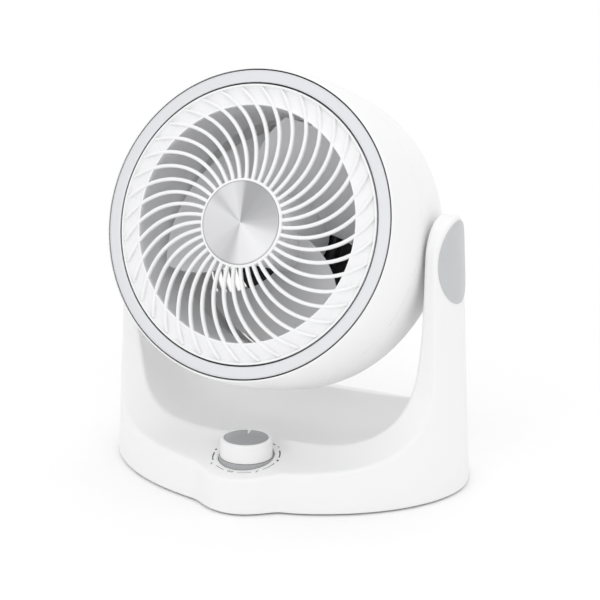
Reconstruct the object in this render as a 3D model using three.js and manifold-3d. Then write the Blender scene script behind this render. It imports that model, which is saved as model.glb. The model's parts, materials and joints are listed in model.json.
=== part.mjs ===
// Air circulator fan: a round tilting head held between the two arms of an oval base.
// Millimetres, +Z up, the front towards -Y, the feet standing on z = 0.
import * as THREE from 'three';
import { mergeVertices } from 'three/addons/utils/BufferGeometryUtils.js';
import Module from 'manifold-3d';

const wasm = await Module();
wasm.setup();

// ---------- driving dimensions ----------
const LARGE = 40;                // sides of the large rings, then of smaller ones
const MIDDLE = 28;
const SMALL = 16;
const FIT = 0.3;                 // gap left between two pieces that touch
const RUN = 0.4;                 // gap round a shaft that turns

const rad = THREE.MathUtils.degToRad;

const REST_TILT = 18.5;          // degrees the face looks up
const RING_AHEAD = 85;           // face plane in front of the tilt axis
const HEAD_RADIUS = 125.6;       // largest radius of the head
const HEAD_WALL = 2.5;
const LIP_INSET = 5.2;           // inner edge of the front lip, in from the largest radius
const LIP_RADIUS = HEAD_RADIUS - LIP_INSET;
const LIP_DEPTH = 4.4;           // depth of the lip down to its shelf
const SHELF_THICK = 2.6;
const BEZEL_GAP = 0.4;           // between the bezel and the lip
const BEZEL_WIDTH = 10.6;
const BEZEL_THICK = 2;
const BEZEL_OUTER = LIP_RADIUS - BEZEL_GAP;
const BEZEL_INNER = BEZEL_OUTER - BEZEL_WIDTH;
const ANNULUS_WIDTH = 17.5;      // white ring inside the bezel
const ANNULUS_INNER = BEZEL_INNER - ANNULUS_WIDTH;
const ANNULUS_THICK = 3;
const ANNULUS_RIM = 9;           // depth of the ring's outer edge
const GRILLE_DOME = 8;           // how far the middle stands out
const GRILLE_FOOT = ANNULUS_INNER + 8.1; // radius where that dome ends
const HUB_RADIUS = 34.4;         // white rim round the badge
const BADGE_INSET = 2.2;
const BADGE_RADIUS = HUB_RADIUS - BADGE_INSET;
const BADGE_THICK = 1.1;
const RIB_COUNT = 39;
const RIB_WIDTH = 3;
const RIB_DEPTH = 4;
const RIB_SWEEP = 22.7;          // degrees a rib turns, hub to outer end
const RIB_SWEEP_POWER = 1.65;
const RIB_SWEEP_END = ANNULUS_INNER + 7.6; // radius at which it has turned that far
const PARTING = 51.5;            // joint of the front and rear shells, behind the face
const SHELL_CORNER = 100;        // where the rear shell begins to narrow
const SHELL_REAR = 140;          // where the rear shell turns inwards
const SHELL_TAPER = 13;          // how much smaller its radius is there
const SHELL_REAR_RADIUS = HEAD_RADIUS - SHELL_TAPER;
const REAR_OPENING = SHELL_REAR_RADIUS - 8.6; // radius of the rear air inlet
const REAR_EDGE = SHELL_REAR + 5;
const DUCT_WALL = 2;
const DUCT_LENGTH = 67;

const SIDE_GAP = 2.7;            // between the head and each arm
const BOWL_HALF_X = HEAD_RADIUS + SIDE_GAP;
const HEAD_CLEAR = 12.3413;       // between the hollow of the base and the face's edge
const BOWL_RADIUS = Math.hypot(RING_AHEAD, HEAD_RADIUS) + HEAD_CLEAR;
const BOWL_POWER = 4.2;          // squareness of the hollow seen from the front
const BOWL_FLOOR = 30;           // lowest point of the hollow above the floor
const PIVOT_Z = BOWL_FLOOR + BOWL_RADIUS; // tilt axis above the floor

const WALL = 3;                  // wall of the base and arms
const BASE_DRAFT = 3;            // degrees the walls lean inwards
const ARM_THICK = 16.833;        // each arm at the tilt axis
const BASE_HALF_X = BOWL_HALF_X + ARM_THICK + PIVOT_Z * Math.tan(rad(BASE_DRAFT)); // at the floor
const BASE_HALF_Y = 118.5;       // half depth of the base at the floor
const BASE_POWER = 1.86;         // roundness of the base oval, 2 is an ellipse
const BASE_LIFT = 1.5;           // bottom edge of the shell above the floor
const BASE_EDGE = 1.5;           // bevel along the bottom edge

const ARM_TIP_RADIUS = 30.5;     // round top of each arm, about the tilt axis
const FLANK_RADIUS = 66;         // hollow curve from the panel up into the arm
const FLANK_Y = 100;             // centre of that curve, in front of the axis
const FLANK_Z = 101.9;           // and above the floor
const PANEL_SLOPE = 9.5;         // degrees the front panel falls to the front
const REAR_SLOPE = 16;           // degrees the rear rim falls to the rear

const CAP_BORDER = 2.5;          // rim of the arm left round the oval cap
const CAP_HALF_Y = ARM_TIP_RADIUS - CAP_BORDER;
const CAP_HALF_Z = ARM_TIP_RADIUS + CAP_BORDER;
const CAP_DROP = 6;              // middle of the cap below the tilt axis
const CAP_Z = PIVOT_Z - CAP_DROP;
const CAP_SEAT = 1.6;            // depth of its seat in the arm
const CAP_PROUD = 1.2;           // how far it stands out
const ACCESS = 0.78;             // opening behind the cap, as a share of the cap

const PLATE_BOTTOM = 3;          // underside of the base plate
const PLATE_THICK = 3;
const FOOT_RADIUS = 9;
const FOOT_INSET_X = 63.3;       // middle of each foot, in from the ends of the oval
const FOOT_INSET_Y = 48.5;
const FOOT_X = BASE_HALF_X - FOOT_INSET_X;
const FOOT_Y = BASE_HALF_Y - FOOT_INSET_Y;
const BOSS_RADIUS = 4.5;         // screw posts under the hollow
const BOSS_INSET_X = 51.3;
const BOSS_INSET_Y = 74.5;
const BOSS_X = BASE_HALF_X - BOSS_INSET_X;
const BOSS_Y = BASE_HALF_Y - BOSS_INSET_Y;
const BASE_SCREW_SHANK = 1.4;
const BASE_SCREW_HEAD = 3.4;
const BASE_SCREW_HEAD_THICK = 1.5;
const BASE_SCREW_LONG = 14;

const KNOB_X = 6;                // centre of the knob, a little right of the middle
const KNOB_Y = -92.5;            // on the sloping panel
const KNOB_AWAY = Math.hypot(KNOB_X, KNOB_Y);
const KNOB_ANGLE = Math.atan2(KNOB_Y, KNOB_X);
const KNOB_RADIUS = 20.9;
const KNOB_TOP_RADIUS = KNOB_RADIUS - 0.8;
const KNOB_HEIGHT = 15;
const KNOB_RIM = 2.7;            // white rim round the disc
const KNOB_DISC_RADIUS = KNOB_TOP_RADIUS - KNOB_RIM;
const KNOB_DISC_THICK = 1.2;
const KNOB_DISC_SUNK = 0.5;      // disc below the knob's rim
const KNOB_NOTCH = 2.4;          // width of the white notch in the disc
const KNOB_NOTCH_DEPTH = 8;
const KNOB_NOTCH_TURN = 18;      // degrees the notch lies left of the rear
const BUMP_BORDER = 16.9;        // round nose in front of the knob, beyond the knob's edge
const BUMP_RADIUS = KNOB_RADIUS + BUMP_BORDER;
const BUMP_BLEND = 9;            // softness of the corner where nose and oval meet
const COLLAR_RADIUS = KNOB_RADIUS + 1.1;
const COLLAR_TOP = 0.2;          // level top of the collar above the panel at its middle
const POCKET_RADIUS = COLLAR_RADIUS + FIT; // round pocket in the panel that holds the collar
const POCKET_EDGE = 0.6;         // its depth at its lowest edge
const POCKET_DEPTH = POCKET_RADIUS * Math.tan(rad(PANEL_SLOPE)) + POCKET_EDGE; // below the panel's middle
const SPINDLE_RADIUS = 3;
const SWITCH_RADIUS = 13;
const SWITCH_HEIGHT = 11;
const SWITCH_TOP = -POCKET_DEPTH - WALL - 1; // below the pocket's floor
const POCKET_CUT = 6 * WALL;     // the pocket is open upwards this far

const MOTOR_RADIUS = 36;
const MOTOR_LENGTH = 48.7;
const MOTOR_WALL = 2;
const MOTOR_FLANGE = 10;         // depth of the can's wide front flange behind its front
const MOTOR_FLANGE_RADIUS = MOTOR_RADIUS + 28;
const REAR_PLATE_RADIUS = MOTOR_RADIUS + 4;
const REAR_PLANE = SHELL_REAR + 6; // rear grille behind the face
const REAR_DOME = 3;
const SPOKE_COUNT = 20;
const SPOKE_WIDTH = 2.4;
const SPOKE_DEPTH = 3;
const REAR_RING = (REAR_PLATE_RADIUS + REAR_OPENING) / 2; // ring that ties the rear spokes
const MOTOR_BACK = REAR_PLANE + REAR_DOME - FIT;
const MOTOR_FRONT = MOTOR_BACK - MOTOR_LENGTH;
const STATOR_INNER = MOTOR_RADIUS - 12;
const CORE_FRONT = MOTOR_FRONT + 8;
const CORE_REAR = MOTOR_BACK - 10.7;
const SHAFT_RADIUS = 4;
const SHAFT_REAR = MOTOR_BACK - 5.7;
const BEARING_RADIUS = 9;
const BEARING_LENGTH = 5;
const MOTOR_SCREW_CIRCLE = MOTOR_RADIUS - 10;
const IMPELLER_HUB = 30;
const IMPELLER_FRONT = 14;
const IMPELLER_DEPTH = MOTOR_FRONT - 4 - IMPELLER_FRONT;
const IMPELLER_WALL = 2;
const SHAFT_FRONT = IMPELLER_FRONT - 5;
const BLADE_COUNT = 3;
const TIP_GAP = 3.4;             // between the blades and the duct
const BLADE_TIP = ANNULUS_INNER - TIP_GAP;
const BLADE_THICK = 1.8;
const BLADE_SPAN = 109;          // degrees one blade covers
const BLADE_SWEEP = -32.5;       // degrees the tip lies ahead of the root
const BLADE_START = 63.5;        // middle of the first blade's root, from the right
const BLADE_FRONT = IMPELLER_FRONT + 17; // front edge behind the face
const BLADE_REAR = MOTOR_FRONT - 7;
const BLADE_BOW = 7;             // how far the middle of a blade bends backwards

const PIN_RADIUS = 5;
const PIN_FLANGE = 12;
const PIN_FLANGE_THICK = 2.5;
const BUSH_RADIUS = 8;
const NUT_RADIUS = 8;
const NUT_THICK = 4;
const NUT_SEAT = BOWL_HALF_X + WALL + RUN;
const PIN_END = NUT_SEAT + NUT_THICK + FIT;
const WASHER_RADIUS = 11;

const GLAND_RADIUS = 5;          // cord entry at the rear of the base
const GLAND_Z = 15;
const BLOCK_X = 45;              // terminal block and capacitor on the base plate
const BLOCK_Y = 40;
const TERMINAL_WIDTH = 34;
const TERMINAL_DEPTH = 14;
const TERMINAL_HEIGHT = 12;
const CAPACITOR_WIDTH = 38;
const CAPACITOR_DEPTH = 16;
const CAPACITOR_HEIGHT = 14;

// the frame's origin lies under the middle of the whole object
const NOSE_Y = KNOB_Y - BUMP_RADIUS; // front of the base
const REAR_Y = BASE_HALF_Y - (BASE_LIFT + BASE_EDGE) * Math.tan(rad(BASE_DRAFT));
const FRAME_SHIFT_Y = -(NOSE_Y + REAR_Y) / 2;

const group = new THREE.Group();
group.name = 'air_circulator_fan';

// ---------- turning geometry into solids and back ----------
function solid(geometry) {
  const bare = geometry.clone();
  bare.deleteAttribute('normal');
  bare.deleteAttribute('uv');
  const merged = mergeVertices(bare, 1e-5);
  const mesh = new wasm.Mesh({
    numProp: 3,
    vertProperties: new Float32Array(merged.attributes.position.array),
    triVerts: new Uint32Array(merged.index.array),
  });
  mesh.merge();
  return new wasm.Manifold(mesh);
}

function shape(body) {
  const mesh = body.getMesh();
  const geometry = new THREE.BufferGeometry();
  geometry.setAttribute('position', new THREE.BufferAttribute(new Float32Array(mesh.vertProperties), 3));
  geometry.setIndex(Array.from(mesh.triVerts));
  return geometry;
}

function join(bodies) {
  return bodies.reduce((sum, body) => sum.add(body));
}

function fixed(colour, roughness, metalness = 0) {
  return new THREE.MeshStandardMaterial({ color: colour, roughness, metalness });
}

function piece(name, body, material) {
  const geometry = shape(body);
  geometry.translate(0, FRAME_SHIFT_Y, 0);
  const creased = geometry.toNonIndexed();
  creased.computeVertexNormals();
  const mesh = new THREE.Mesh(creased, material);
  mesh.name = name;
  group.add(mesh);
}

// ---------- basic bodies ----------
// closed stack of rings, every ring a list of [x, y, z] with the same count
function stack(rings) {
  const count = rings[0].length;
  const points = rings.flat(2);
  const middle = (ring) => [0, 1, 2].map((k) => ring.reduce((sum, p) => sum + p[k], 0) / count);
  points.push(...middle(rings[0]), ...middle(rings[rings.length - 1]));
  const index = [];
  for (let i = 0; i + 1 < rings.length; i += 1) {
    for (let j = 0; j < count; j += 1) {
      const a = i * count + j;
      const b = i * count + ((j + 1) % count);
      index.push(a, b, b + count, a, b + count, a + count);
    }
  }
  const last = (rings.length - 1) * count;
  for (let j = 0; j < count; j += 1) {
    const next = (j + 1) % count;
    index.push(rings.length * count, next, j);
    index.push(rings.length * count + 1, last + j, last + next);
  }
  const geometry = new THREE.BufferGeometry();
  geometry.setAttribute('position', new THREE.Float32BufferAttribute(points, 3));
  geometry.setIndex(index);
  return solid(geometry);
}

// closed thin body between two grids of points that lie over each other
function sheet(front, back, rows, columns) {
  const half = rows * columns;
  const index = [];
  for (let i = 0; i + 1 < rows; i += 1) {
    for (let j = 0; j + 1 < columns; j += 1) {
      const a = i * columns + j;
      const b = a + 1;
      const c = b + columns;
      const d = a + columns;
      index.push(a, c, b, a, d, c, half + a, half + b, half + c, half + a, half + c, half + d);
    }
  }
  const rim = [];
  for (let j = 0; j + 1 < columns; j += 1) rim.push(j);
  for (let i = 0; i + 1 < rows; i += 1) rim.push(i * columns + columns - 1);
  for (let j = columns - 1; j > 0; j -= 1) rim.push((rows - 1) * columns + j);
  for (let i = rows - 1; i > 0; i -= 1) rim.push(i * columns);
  rim.forEach((a, k) => {
    const b = rim[(k + 1) % rim.length];
    index.push(a, b, half + a, b, half + b, half + a);
  });
  const geometry = new THREE.BufferGeometry();
  geometry.setAttribute('position', new THREE.Float32BufferAttribute([...front, ...back].flat(), 3));
  geometry.setIndex(index);
  return solid(geometry);
}

function turned(profile, segments = MIDDLE) {
  const points = profile.map(([r, h]) => new THREE.Vector2(r, h));
  points.push(points[0].clone());
  return solid(new THREE.LatheGeometry(points, segments));
}

function rod(radius, from, to, segments = SMALL) {
  const geometry = new THREE.CylinderGeometry(radius, radius, to - from, segments);
  geometry.translate(0, (from + to) / 2, 0);
  return solid(geometry);
}

function ring(inner, outer, from, to, segments = SMALL) {
  return turned([[inner, from], [outer, from], [outer, to], [inner, to]], segments);
}

function hexNut(bore, half, from, to) {
  return rod(half, from, to, 6).subtract(rod(bore, from - 1, to + 1));
}

function block(width, depth, height, x, y, z) {
  const geometry = new THREE.BoxGeometry(width, depth, height);
  geometry.translate(x, y, z);
  return solid(geometry);
}

// prism along x over an outline in (y, z)
function prism(outline, halfX) {
  const flat = new THREE.Shape(outline.map(([y, z]) => new THREE.Vector2(y, z)));
  const geometry = new THREE.ExtrudeGeometry(flat, { depth: 2 * halfX, bevelEnabled: false });
  geometry.translate(0, 0, -halfX);
  geometry.applyMatrix4(new THREE.Matrix4().makeBasis(
    new THREE.Vector3(0, 1, 0), new THREE.Vector3(0, 0, 1), new THREE.Vector3(1, 0, 0)));
  return solid(geometry);
}

function place(body, matrix) {
  return solid(shape(body).applyMatrix4(matrix));
}

function move(body, x, y, z) {
  return place(body, new THREE.Matrix4().makeTranslation(x, y, z));
}

const UPRIGHT = new THREE.Matrix4().makeRotationX(Math.PI / 2);
const ALONG_X = new THREE.Matrix4().makeRotationZ(-Math.PI / 2);

// ---------- the base oval with its nose ----------
function oval(angle, x0, y0) {
  const c = Math.abs(Math.cos(angle)) / x0;
  const s = Math.abs(Math.sin(angle)) / y0;
  return (c ** BASE_POWER + s ** BASE_POWER) ** (-1 / BASE_POWER);
}

function nose(angle, radius) {
  const turn = angle - KNOB_ANGLE;
  const reach = radius ** 2 - (KNOB_AWAY * Math.sin(turn)) ** 2;
  return reach > 0 && Math.cos(turn) > 0 ? KNOB_AWAY * Math.cos(turn) + Math.sqrt(reach) : 0;
}

function softMax(a, b, blend) {
  const near = Math.max(blend - Math.abs(a - b), 0) / blend;
  return Math.max(a, b) + near * near * blend / 4;
}

function footprint(z, inset) {
  const lean = z * Math.tan(rad(BASE_DRAFT)) + inset;
  const points = [];
  for (const angle of FOOT_ANGLES) {
    const wide = oval(angle, BASE_HALF_X - lean, BASE_HALF_Y - lean);
    const r = softMax(wide, nose(angle, BUMP_RADIUS - inset), BUMP_BLEND);
    points.push([r * Math.cos(angle), r * Math.sin(angle), z]);
  }
  return points;
}

// angles round the footprint, closer together along the nose
function footAngles() {
  const front = KNOB_ANGLE;
  const half = rad(27);
  const angles = [];
  for (let i = 0; i < 14; i += 1) angles.push(front - half + (2 * half * i) / 14);
  const rest = 2 * Math.PI - 2 * half;
  for (let i = 0; i < 36; i += 1) angles.push(front + half + (rest * i) / 36);
  return angles;
}
const FOOT_ANGLES = footAngles();

function frustum(bottom, top, inset) {
  return stack([footprint(bottom, inset), footprint(top, inset)]);
}

// ---------- the side outline of base and arms ----------
function arc(cy, cz, radius, from, to, steps) {
  const points = [];
  for (let i = 0; i <= steps; i += 1) {
    const a = rad(from + ((to - from) * i) / steps);
    points.push([cy + radius * Math.cos(a), cz + radius * Math.sin(a)]);
  }
  return points;
}

function sideOutline(inset) {
  const rise = PIVOT_Z - FLANK_Z;
  const apart = Math.hypot(FLANK_Y, rise);
  const lean = Math.atan2(rise, FLANK_Y) + Math.asin((FLANK_RADIUS + ARM_TIP_RADIUS) / apart);
  const edge = THREE.MathUtils.radToDeg(lean) - 90;
  const reach = BASE_HALF_X;
  const flank = FLANK_RADIUS + inset;
  const front = arc(-FLANK_Y, FLANK_Z, flank, PANEL_SLOPE - 90, edge, 6);
  const rear = arc(FLANK_Y, FLANK_Z, flank, 180 - edge, 270 - REAR_SLOPE, 6);
  const tip = arc(0, PIVOT_Z, ARM_TIP_RADIUS - inset, 180 + edge, -edge, 10);
  const fall = (point, slope) => point[1] - (reach - Math.abs(point[0])) * Math.tan(rad(slope));
  return [
    [-reach, -WALL], [-reach, fall(front[0], PANEL_SLOPE)],
    ...front, ...tip, ...rear,
    [reach, fall(rear[rear.length - 1], REAR_SLOPE)], [reach, -WALL],
  ].reverse();
}

function panelHeight(y) {
  const tangentY = -FLANK_Y + FLANK_RADIUS * Math.sin(rad(PANEL_SLOPE));
  const tangentZ = FLANK_Z - FLANK_RADIUS * Math.cos(rad(PANEL_SLOPE));
  return tangentZ + (y - tangentY) * Math.tan(rad(PANEL_SLOPE));
}

// ---------- the hollow between the arms ----------
function bowl(inset) {
  const half = BOWL_HALF_X + inset;
  const radius = BOWL_RADIUS + inset;
  const profile = [];
  const steps = 12;
  for (let i = 0; i <= steps; i += 1) {
    const a = (Math.PI * i) / steps - Math.PI / 2;
    const c = Math.abs(Math.cos(a)) ** (2 / BOWL_POWER);
    const s = Math.sign(Math.sin(a)) * Math.abs(Math.sin(a)) ** (2 / BOWL_POWER);
    profile.push(new THREE.Vector2(i === 0 || i === steps ? 0 : radius * c, half * s));
  }
  const geometry = new THREE.LatheGeometry(profile, 32);
  geometry.applyMatrix4(ALONG_X);
  geometry.translate(0, 0, PIVOT_Z);
  return solid(geometry);
}

function ovalBar(halfY, halfZ, from, to) {
  const outline = [];
  for (let i = 0; i < MIDDLE; i += 1) {
    const a = (2 * Math.PI * i) / MIDDLE;
    outline.push([halfY * Math.cos(a), CAP_Z + halfZ * Math.sin(a)]);
  }
  return move(prism(outline, (to - from) / 2), (from + to) / 2, 0, 0);
}

// ---------- base ----------
const SKY = PIVOT_Z + ARM_TIP_RADIUS + 10;
const FLOOR_GAP = PLATE_BOTTOM + PLATE_THICK;

function blank(inset, bottom) {
  return frustum(bottom, SKY, inset).intersect(prism(sideOutline(inset), BASE_HALF_X + 5))
    .subtract(bowl(inset));
}

function baseScrewSpots() {
  return [[-BOSS_X, -BOSS_Y], [BOSS_X, -BOSS_Y], [BOSS_X, BOSS_Y], [-BOSS_X, BOSS_Y]];
}

function upright(body, x, y) {
  return move(place(body, UPRIGHT), x, y, 0);
}

function yokeShell() {
  const foot = stack([footprint(BASE_LIFT, BASE_EDGE), footprint(BASE_LIFT + BASE_EDGE, 0),
    footprint(SKY, 0)]);
  const outside = foot.intersect(prism(sideOutline(0), BASE_HALF_X + 5)).subtract(bowl(0));
  let shell = outside.subtract(blank(WALL, -WALL));
  for (const [x, y] of baseScrewSpots()) {
    const post = upright(rod(BOSS_RADIUS, FLOOR_GAP + FIT, PIVOT_Z / 2, 12), x, y);
    const bore = upright(rod(BASE_SCREW_SHANK + FIT, 0, FLOOR_GAP + 13, 8), x, y);
    shell = shell.add(post.intersect(outside)).subtract(bore);
  }
  const seat = ovalBar(CAP_HALF_Y + FIT, CAP_HALF_Z + FIT, BOWL_HALF_X, BASE_HALF_X)
    .subtract(frustum(0, SKY, CAP_SEAT));
  const access = ovalBar(CAP_HALF_Y * ACCESS, CAP_HALF_Z * ACCESS, BOWL_HALF_X + 2 * WALL, BASE_HALF_X);
  const hole = rod(BUSH_RADIUS + FIT, BOWL_HALF_X / 2, BOWL_HALF_X + 2 * WALL);
  const bore = move(place(hole, ALONG_X), 0, 0, PIVOT_Z);
  const cuts = join([seat, access, bore]);
  shell = shell.subtract(cuts).subtract(mirrorX(cuts));
  const cup = atKnob(rod(POCKET_RADIUS + WALL, -POCKET_DEPTH - WALL, POCKET_CUT, MIDDLE));
  shell = shell.add(cup.intersect(outside));
  shell = shell.subtract(atKnob(rod(POCKET_RADIUS, -POCKET_DEPTH, POCKET_CUT, MIDDLE)));
  shell = shell.subtract(atKnob(rod(SPINDLE_RADIUS + 1, -POCKET_DEPTH - 2 * WALL, 0)));
  return shell.subtract(glandAt(rod(GLAND_RADIUS + FIT, -10, 10)));
}

function mirrorX(body) {
  const geometry = shape(body).applyMatrix4(new THREE.Matrix4().makeScale(-1, 1, 1));
  const index = geometry.index.array;
  for (let i = 0; i < index.length; i += 3) [index[i], index[i + 1]] = [index[i + 1], index[i]];
  return solid(geometry);
}

// y of the local frame runs straight up from the panel at the knob's centre
const KNOB_FRAME = new THREE.Matrix4().makeTranslation(KNOB_X, KNOB_Y, panelHeight(KNOB_Y))
  .multiply(UPRIGHT);
const atKnob = (body) => place(body, KNOB_FRAME);
const GLAND_FRAME = new THREE.Matrix4()
  .makeTranslation(0, BASE_HALF_Y - GLAND_Z * Math.tan(rad(BASE_DRAFT)) - WALL, GLAND_Z);
const glandAt = (body) => place(body, GLAND_FRAME);

function basePlate() {
  const top = PLATE_BOTTOM + PLATE_THICK;
  let plate = frustum(PLATE_BOTTOM, top, WALL + FIT);
  for (const [x, y] of baseScrewSpots()) {
    plate = plate.subtract(upright(rod(BASE_SCREW_SHANK + FIT, 0, 2 * top, 8), x, y));
  }
  return plate;
}

// rods built along +y stand up with their far end on top
function baseScrew(x, y) {
  const headTop = PLATE_BOTTOM - FIT;
  const shank = rod(BASE_SCREW_SHANK, headTop - 0.5, headTop + BASE_SCREW_LONG, 8);
  const head = rod(BASE_SCREW_HEAD, headTop - BASE_SCREW_HEAD_THICK, headTop, 12);
  return upright(head.add(shank), x, y);
}

function pivotCap() {
  const skin = frustum(0, SKY, -CAP_PROUD).subtract(frustum(0, SKY, CAP_SEAT - FIT));
  return ovalBar(CAP_HALF_Y, CAP_HALF_Z, BOWL_HALF_X, BASE_HALF_X).intersect(skin);
}

function atPivot(body) {
  return move(place(body, ALONG_X), 0, 0, PIVOT_Z);
}

// ---------- knob ----------
function knobBody() {
  const foot = COLLAR_TOP + FIT;
  const top = foot + KNOB_HEIGHT;
  const seat = top - KNOB_DISC_SUNK - KNOB_DISC_THICK - FIT;
  return turned([
    [SPINDLE_RADIUS + FIT, foot + 1], [KNOB_RADIUS - 2.4, foot + 1], [KNOB_RADIUS - 2, foot],
    [KNOB_RADIUS, foot], [KNOB_TOP_RADIUS, top - 1], [KNOB_TOP_RADIUS - 1, top],
    [KNOB_DISC_RADIUS + FIT, top], [KNOB_DISC_RADIUS + FIT, seat], [SPINDLE_RADIUS + FIT, seat],
  ]);
}

function knobDisc() {
  const top = COLLAR_TOP + FIT + KNOB_HEIGHT - KNOB_DISC_SUNK;
  const notch = block(KNOB_NOTCH, 4 * KNOB_DISC_THICK, 2 * KNOB_NOTCH_DEPTH, 0, top, -KNOB_DISC_RADIUS);
  const turn = new THREE.Matrix4().makeRotationY(rad(KNOB_NOTCH_TURN));
  return rod(KNOB_DISC_RADIUS, top - KNOB_DISC_THICK, top, MIDDLE).subtract(place(notch, turn));
}

// ---------- head, its local y runs out of the face and x stays x ----------
const HEAD_FRAME = new THREE.Matrix4().makeTranslation(0, 0, PIVOT_Z)
  .multiply(new THREE.Matrix4().makeRotationX(rad(180 - REST_TILT)))
  .multiply(new THREE.Matrix4().makeTranslation(0, RING_AHEAD, 0));
const inHead = (body) => place(body, HEAD_FRAME);
// profiles of the head are written as [radius, distance behind the face]
const headTurned = (profile, segments = LARGE) => (
  turned(profile.map(([r, s]) => [r, -s]).reverse(), segments));

function frontShell() {
  const inner = HEAD_RADIUS - HEAD_WALL;
  const shelf = BEZEL_INNER - 0.4;
  const back = LIP_DEPTH + SHELF_THICK;
  return headTurned([
    [LIP_RADIUS, 0], [LIP_RADIUS + 1.2, 1.2], [HEAD_RADIUS - 2.3, 10], [HEAD_RADIUS - 0.7, 25],
    [HEAD_RADIUS, PARTING - 9.5], [HEAD_RADIUS, PARTING - FIT], [inner, PARTING - FIT],
    [inner - 0.7, 25], [LIP_RADIUS - 0.2, back], [shelf, back], [shelf, LIP_DEPTH],
    [LIP_RADIUS, LIP_DEPTH],
  ]);
}

function rearShell() {
  const inner = HEAD_RADIUS - HEAD_WALL;
  const body = headTurned([
    [HEAD_RADIUS, PARTING + FIT], [HEAD_RADIUS, SHELL_CORNER - 25], [HEAD_RADIUS - 0.6, SHELL_CORNER],
    [HEAD_RADIUS - 3.5, SHELL_CORNER + 10], [SHELL_REAR_RADIUS, SHELL_REAR],
    [SHELL_REAR_RADIUS - 3.1, REAR_EDGE - 1.5], [REAR_OPENING, REAR_EDGE],
    [REAR_OPENING, REAR_EDGE - HEAD_WALL], [SHELL_REAR_RADIUS - 2.8, SHELL_REAR - 1.5],
    [inner - 3.5, SHELL_CORNER + 9], [inner - 0.7, SHELL_CORNER], [inner, SHELL_CORNER - 25],
    [inner, PARTING + FIT],
  ]);
  const hole = place(rod(PIN_RADIUS + FIT, HEAD_RADIUS - 20, HEAD_RADIUS + 20), ALONG_X);
  const at = new THREE.Matrix4().makeTranslation(0, -RING_AHEAD, 0);
  const holes = place(hole.add(mirrorX(hole)), at);
  return body.subtract(holes);
}

function dome(r) {
  return GRILLE_DOME * (1 - (r / GRILLE_FOOT) ** 2);
}

function ribTurn(r) {
  const share = Math.max(r - HUB_RADIUS, 0) / (RIB_SWEEP_END - HUB_RADIUS);
  return rad(RIB_SWEEP) * share ** RIB_SWEEP_POWER;
}

function frontRib(start) {
  const rings = [];
  const inner = HUB_RADIUS - 1.5;
  const outer = ANNULUS_INNER + 1.2;
  for (let i = 0; i <= 3; i += 1) {
    const r = inner + ((outer - inner) * i) / 3;
    const a = start + ribTurn(r);
    const half = RIB_WIDTH / 2;
    const top = dome(r) - 0.1;
    const low = top - (i === 3 ? ANNULUS_THICK - 0.4 : RIB_DEPTH - 0.6);
    const flat = (w) => [r * Math.cos(a) - w * Math.sin(a), -(r * Math.sin(a) + w * Math.cos(a))];
    const [x1, z1] = flat(half);
    const [x2, z2] = flat(-half);
    rings.push([[x2, low, z2], [x1, low, z1], [x1, top, z1], [x2, top, z2]]);
  }
  return stack(rings);
}

function frontGrille() {
  const hub = headTurned([[0, -dome(HUB_RADIUS)], [HUB_RADIUS, -dome(HUB_RADIUS)],
    [HUB_RADIUS, RIB_DEPTH - dome(HUB_RADIUS)], [0, RIB_DEPTH - dome(HUB_RADIUS)]], RIB_COUNT);
  const outer = BEZEL_INNER - 0.4 - FIT;
  const rim = headTurned([[ANNULUS_INNER, -1.2], [ANNULUS_INNER + 2.5, 0], [outer, 0], [outer, ANNULUS_RIM],
    [outer - 2.5, ANNULUS_RIM], [outer - 2.5, ANNULUS_THICK], [ANNULUS_INNER, ANNULUS_THICK]]);
  let grille = hub.add(rim);
  for (let i = 0; i < RIB_COUNT; i += 1) grille = grille.add(frontRib((2 * Math.PI * i) / RIB_COUNT));
  return grille;
}

function airDuct() {
  const r = ANNULUS_INNER;
  const front = ANNULUS_THICK + FIT;
  const flange = ANNULUS_RIM + FIT;
  return headTurned([[r, front], [r + DUCT_WALL, front], [r + DUCT_WALL, flange], [BEZEL_OUTER, flange],
    [BEZEL_OUTER, flange + DUCT_WALL], [r + DUCT_WALL, flange + DUCT_WALL], [r + DUCT_WALL, DUCT_LENGTH],
    [r, DUCT_LENGTH]]);
}

function rearHeight(r) {
  return REAR_PLANE + (REAR_DOME * (REAR_OPENING - r)) / (REAR_OPENING - REAR_PLATE_RADIUS);
}

function rearSpoke(angle) {
  const rings = [];
  for (const r of [REAR_PLATE_RADIUS - 1.5, REAR_OPENING - 2]) {
    const top = -rearHeight(r) - 0.1;
    const low = top - SPOKE_DEPTH + 0.4;
    const half = SPOKE_WIDTH / 2;
    const spot = (w, y) => [r * Math.cos(angle) - w * Math.sin(angle), y,
      -(r * Math.sin(angle) + w * Math.cos(angle))];
    rings.push([spot(-half, low), spot(half, low), spot(half, top), spot(-half, top)]);
  }
  return stack(rings);
}

function rearBand(inner, outer) {
  return headTurned([[inner, rearHeight(inner)], [outer, rearHeight(outer)],
    [outer, rearHeight(outer) + SPOKE_DEPTH], [inner, rearHeight(inner) + SPOKE_DEPTH]]);
}

function rearGrille() {
  let grille = rearBand(REAR_OPENING - 3.5, REAR_OPENING - FIT);
  grille = grille.add(rearBand(REAR_RING - SPOKE_WIDTH / 2, REAR_RING + SPOKE_WIDTH / 2));
  grille = grille.add(headTurned([[0, rearHeight(REAR_PLATE_RADIUS)],
    [REAR_PLATE_RADIUS, rearHeight(REAR_PLATE_RADIUS)],
    [REAR_PLATE_RADIUS, rearHeight(REAR_PLATE_RADIUS) + SPOKE_DEPTH],
    [0, rearHeight(REAR_PLATE_RADIUS) + SPOKE_DEPTH]]));
  for (let i = 0; i < SPOKE_COUNT; i += 1) grille = grille.add(rearSpoke((2 * Math.PI * i) / SPOKE_COUNT));
  return grille.subtract(motorScrewHoles());
}

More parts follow.
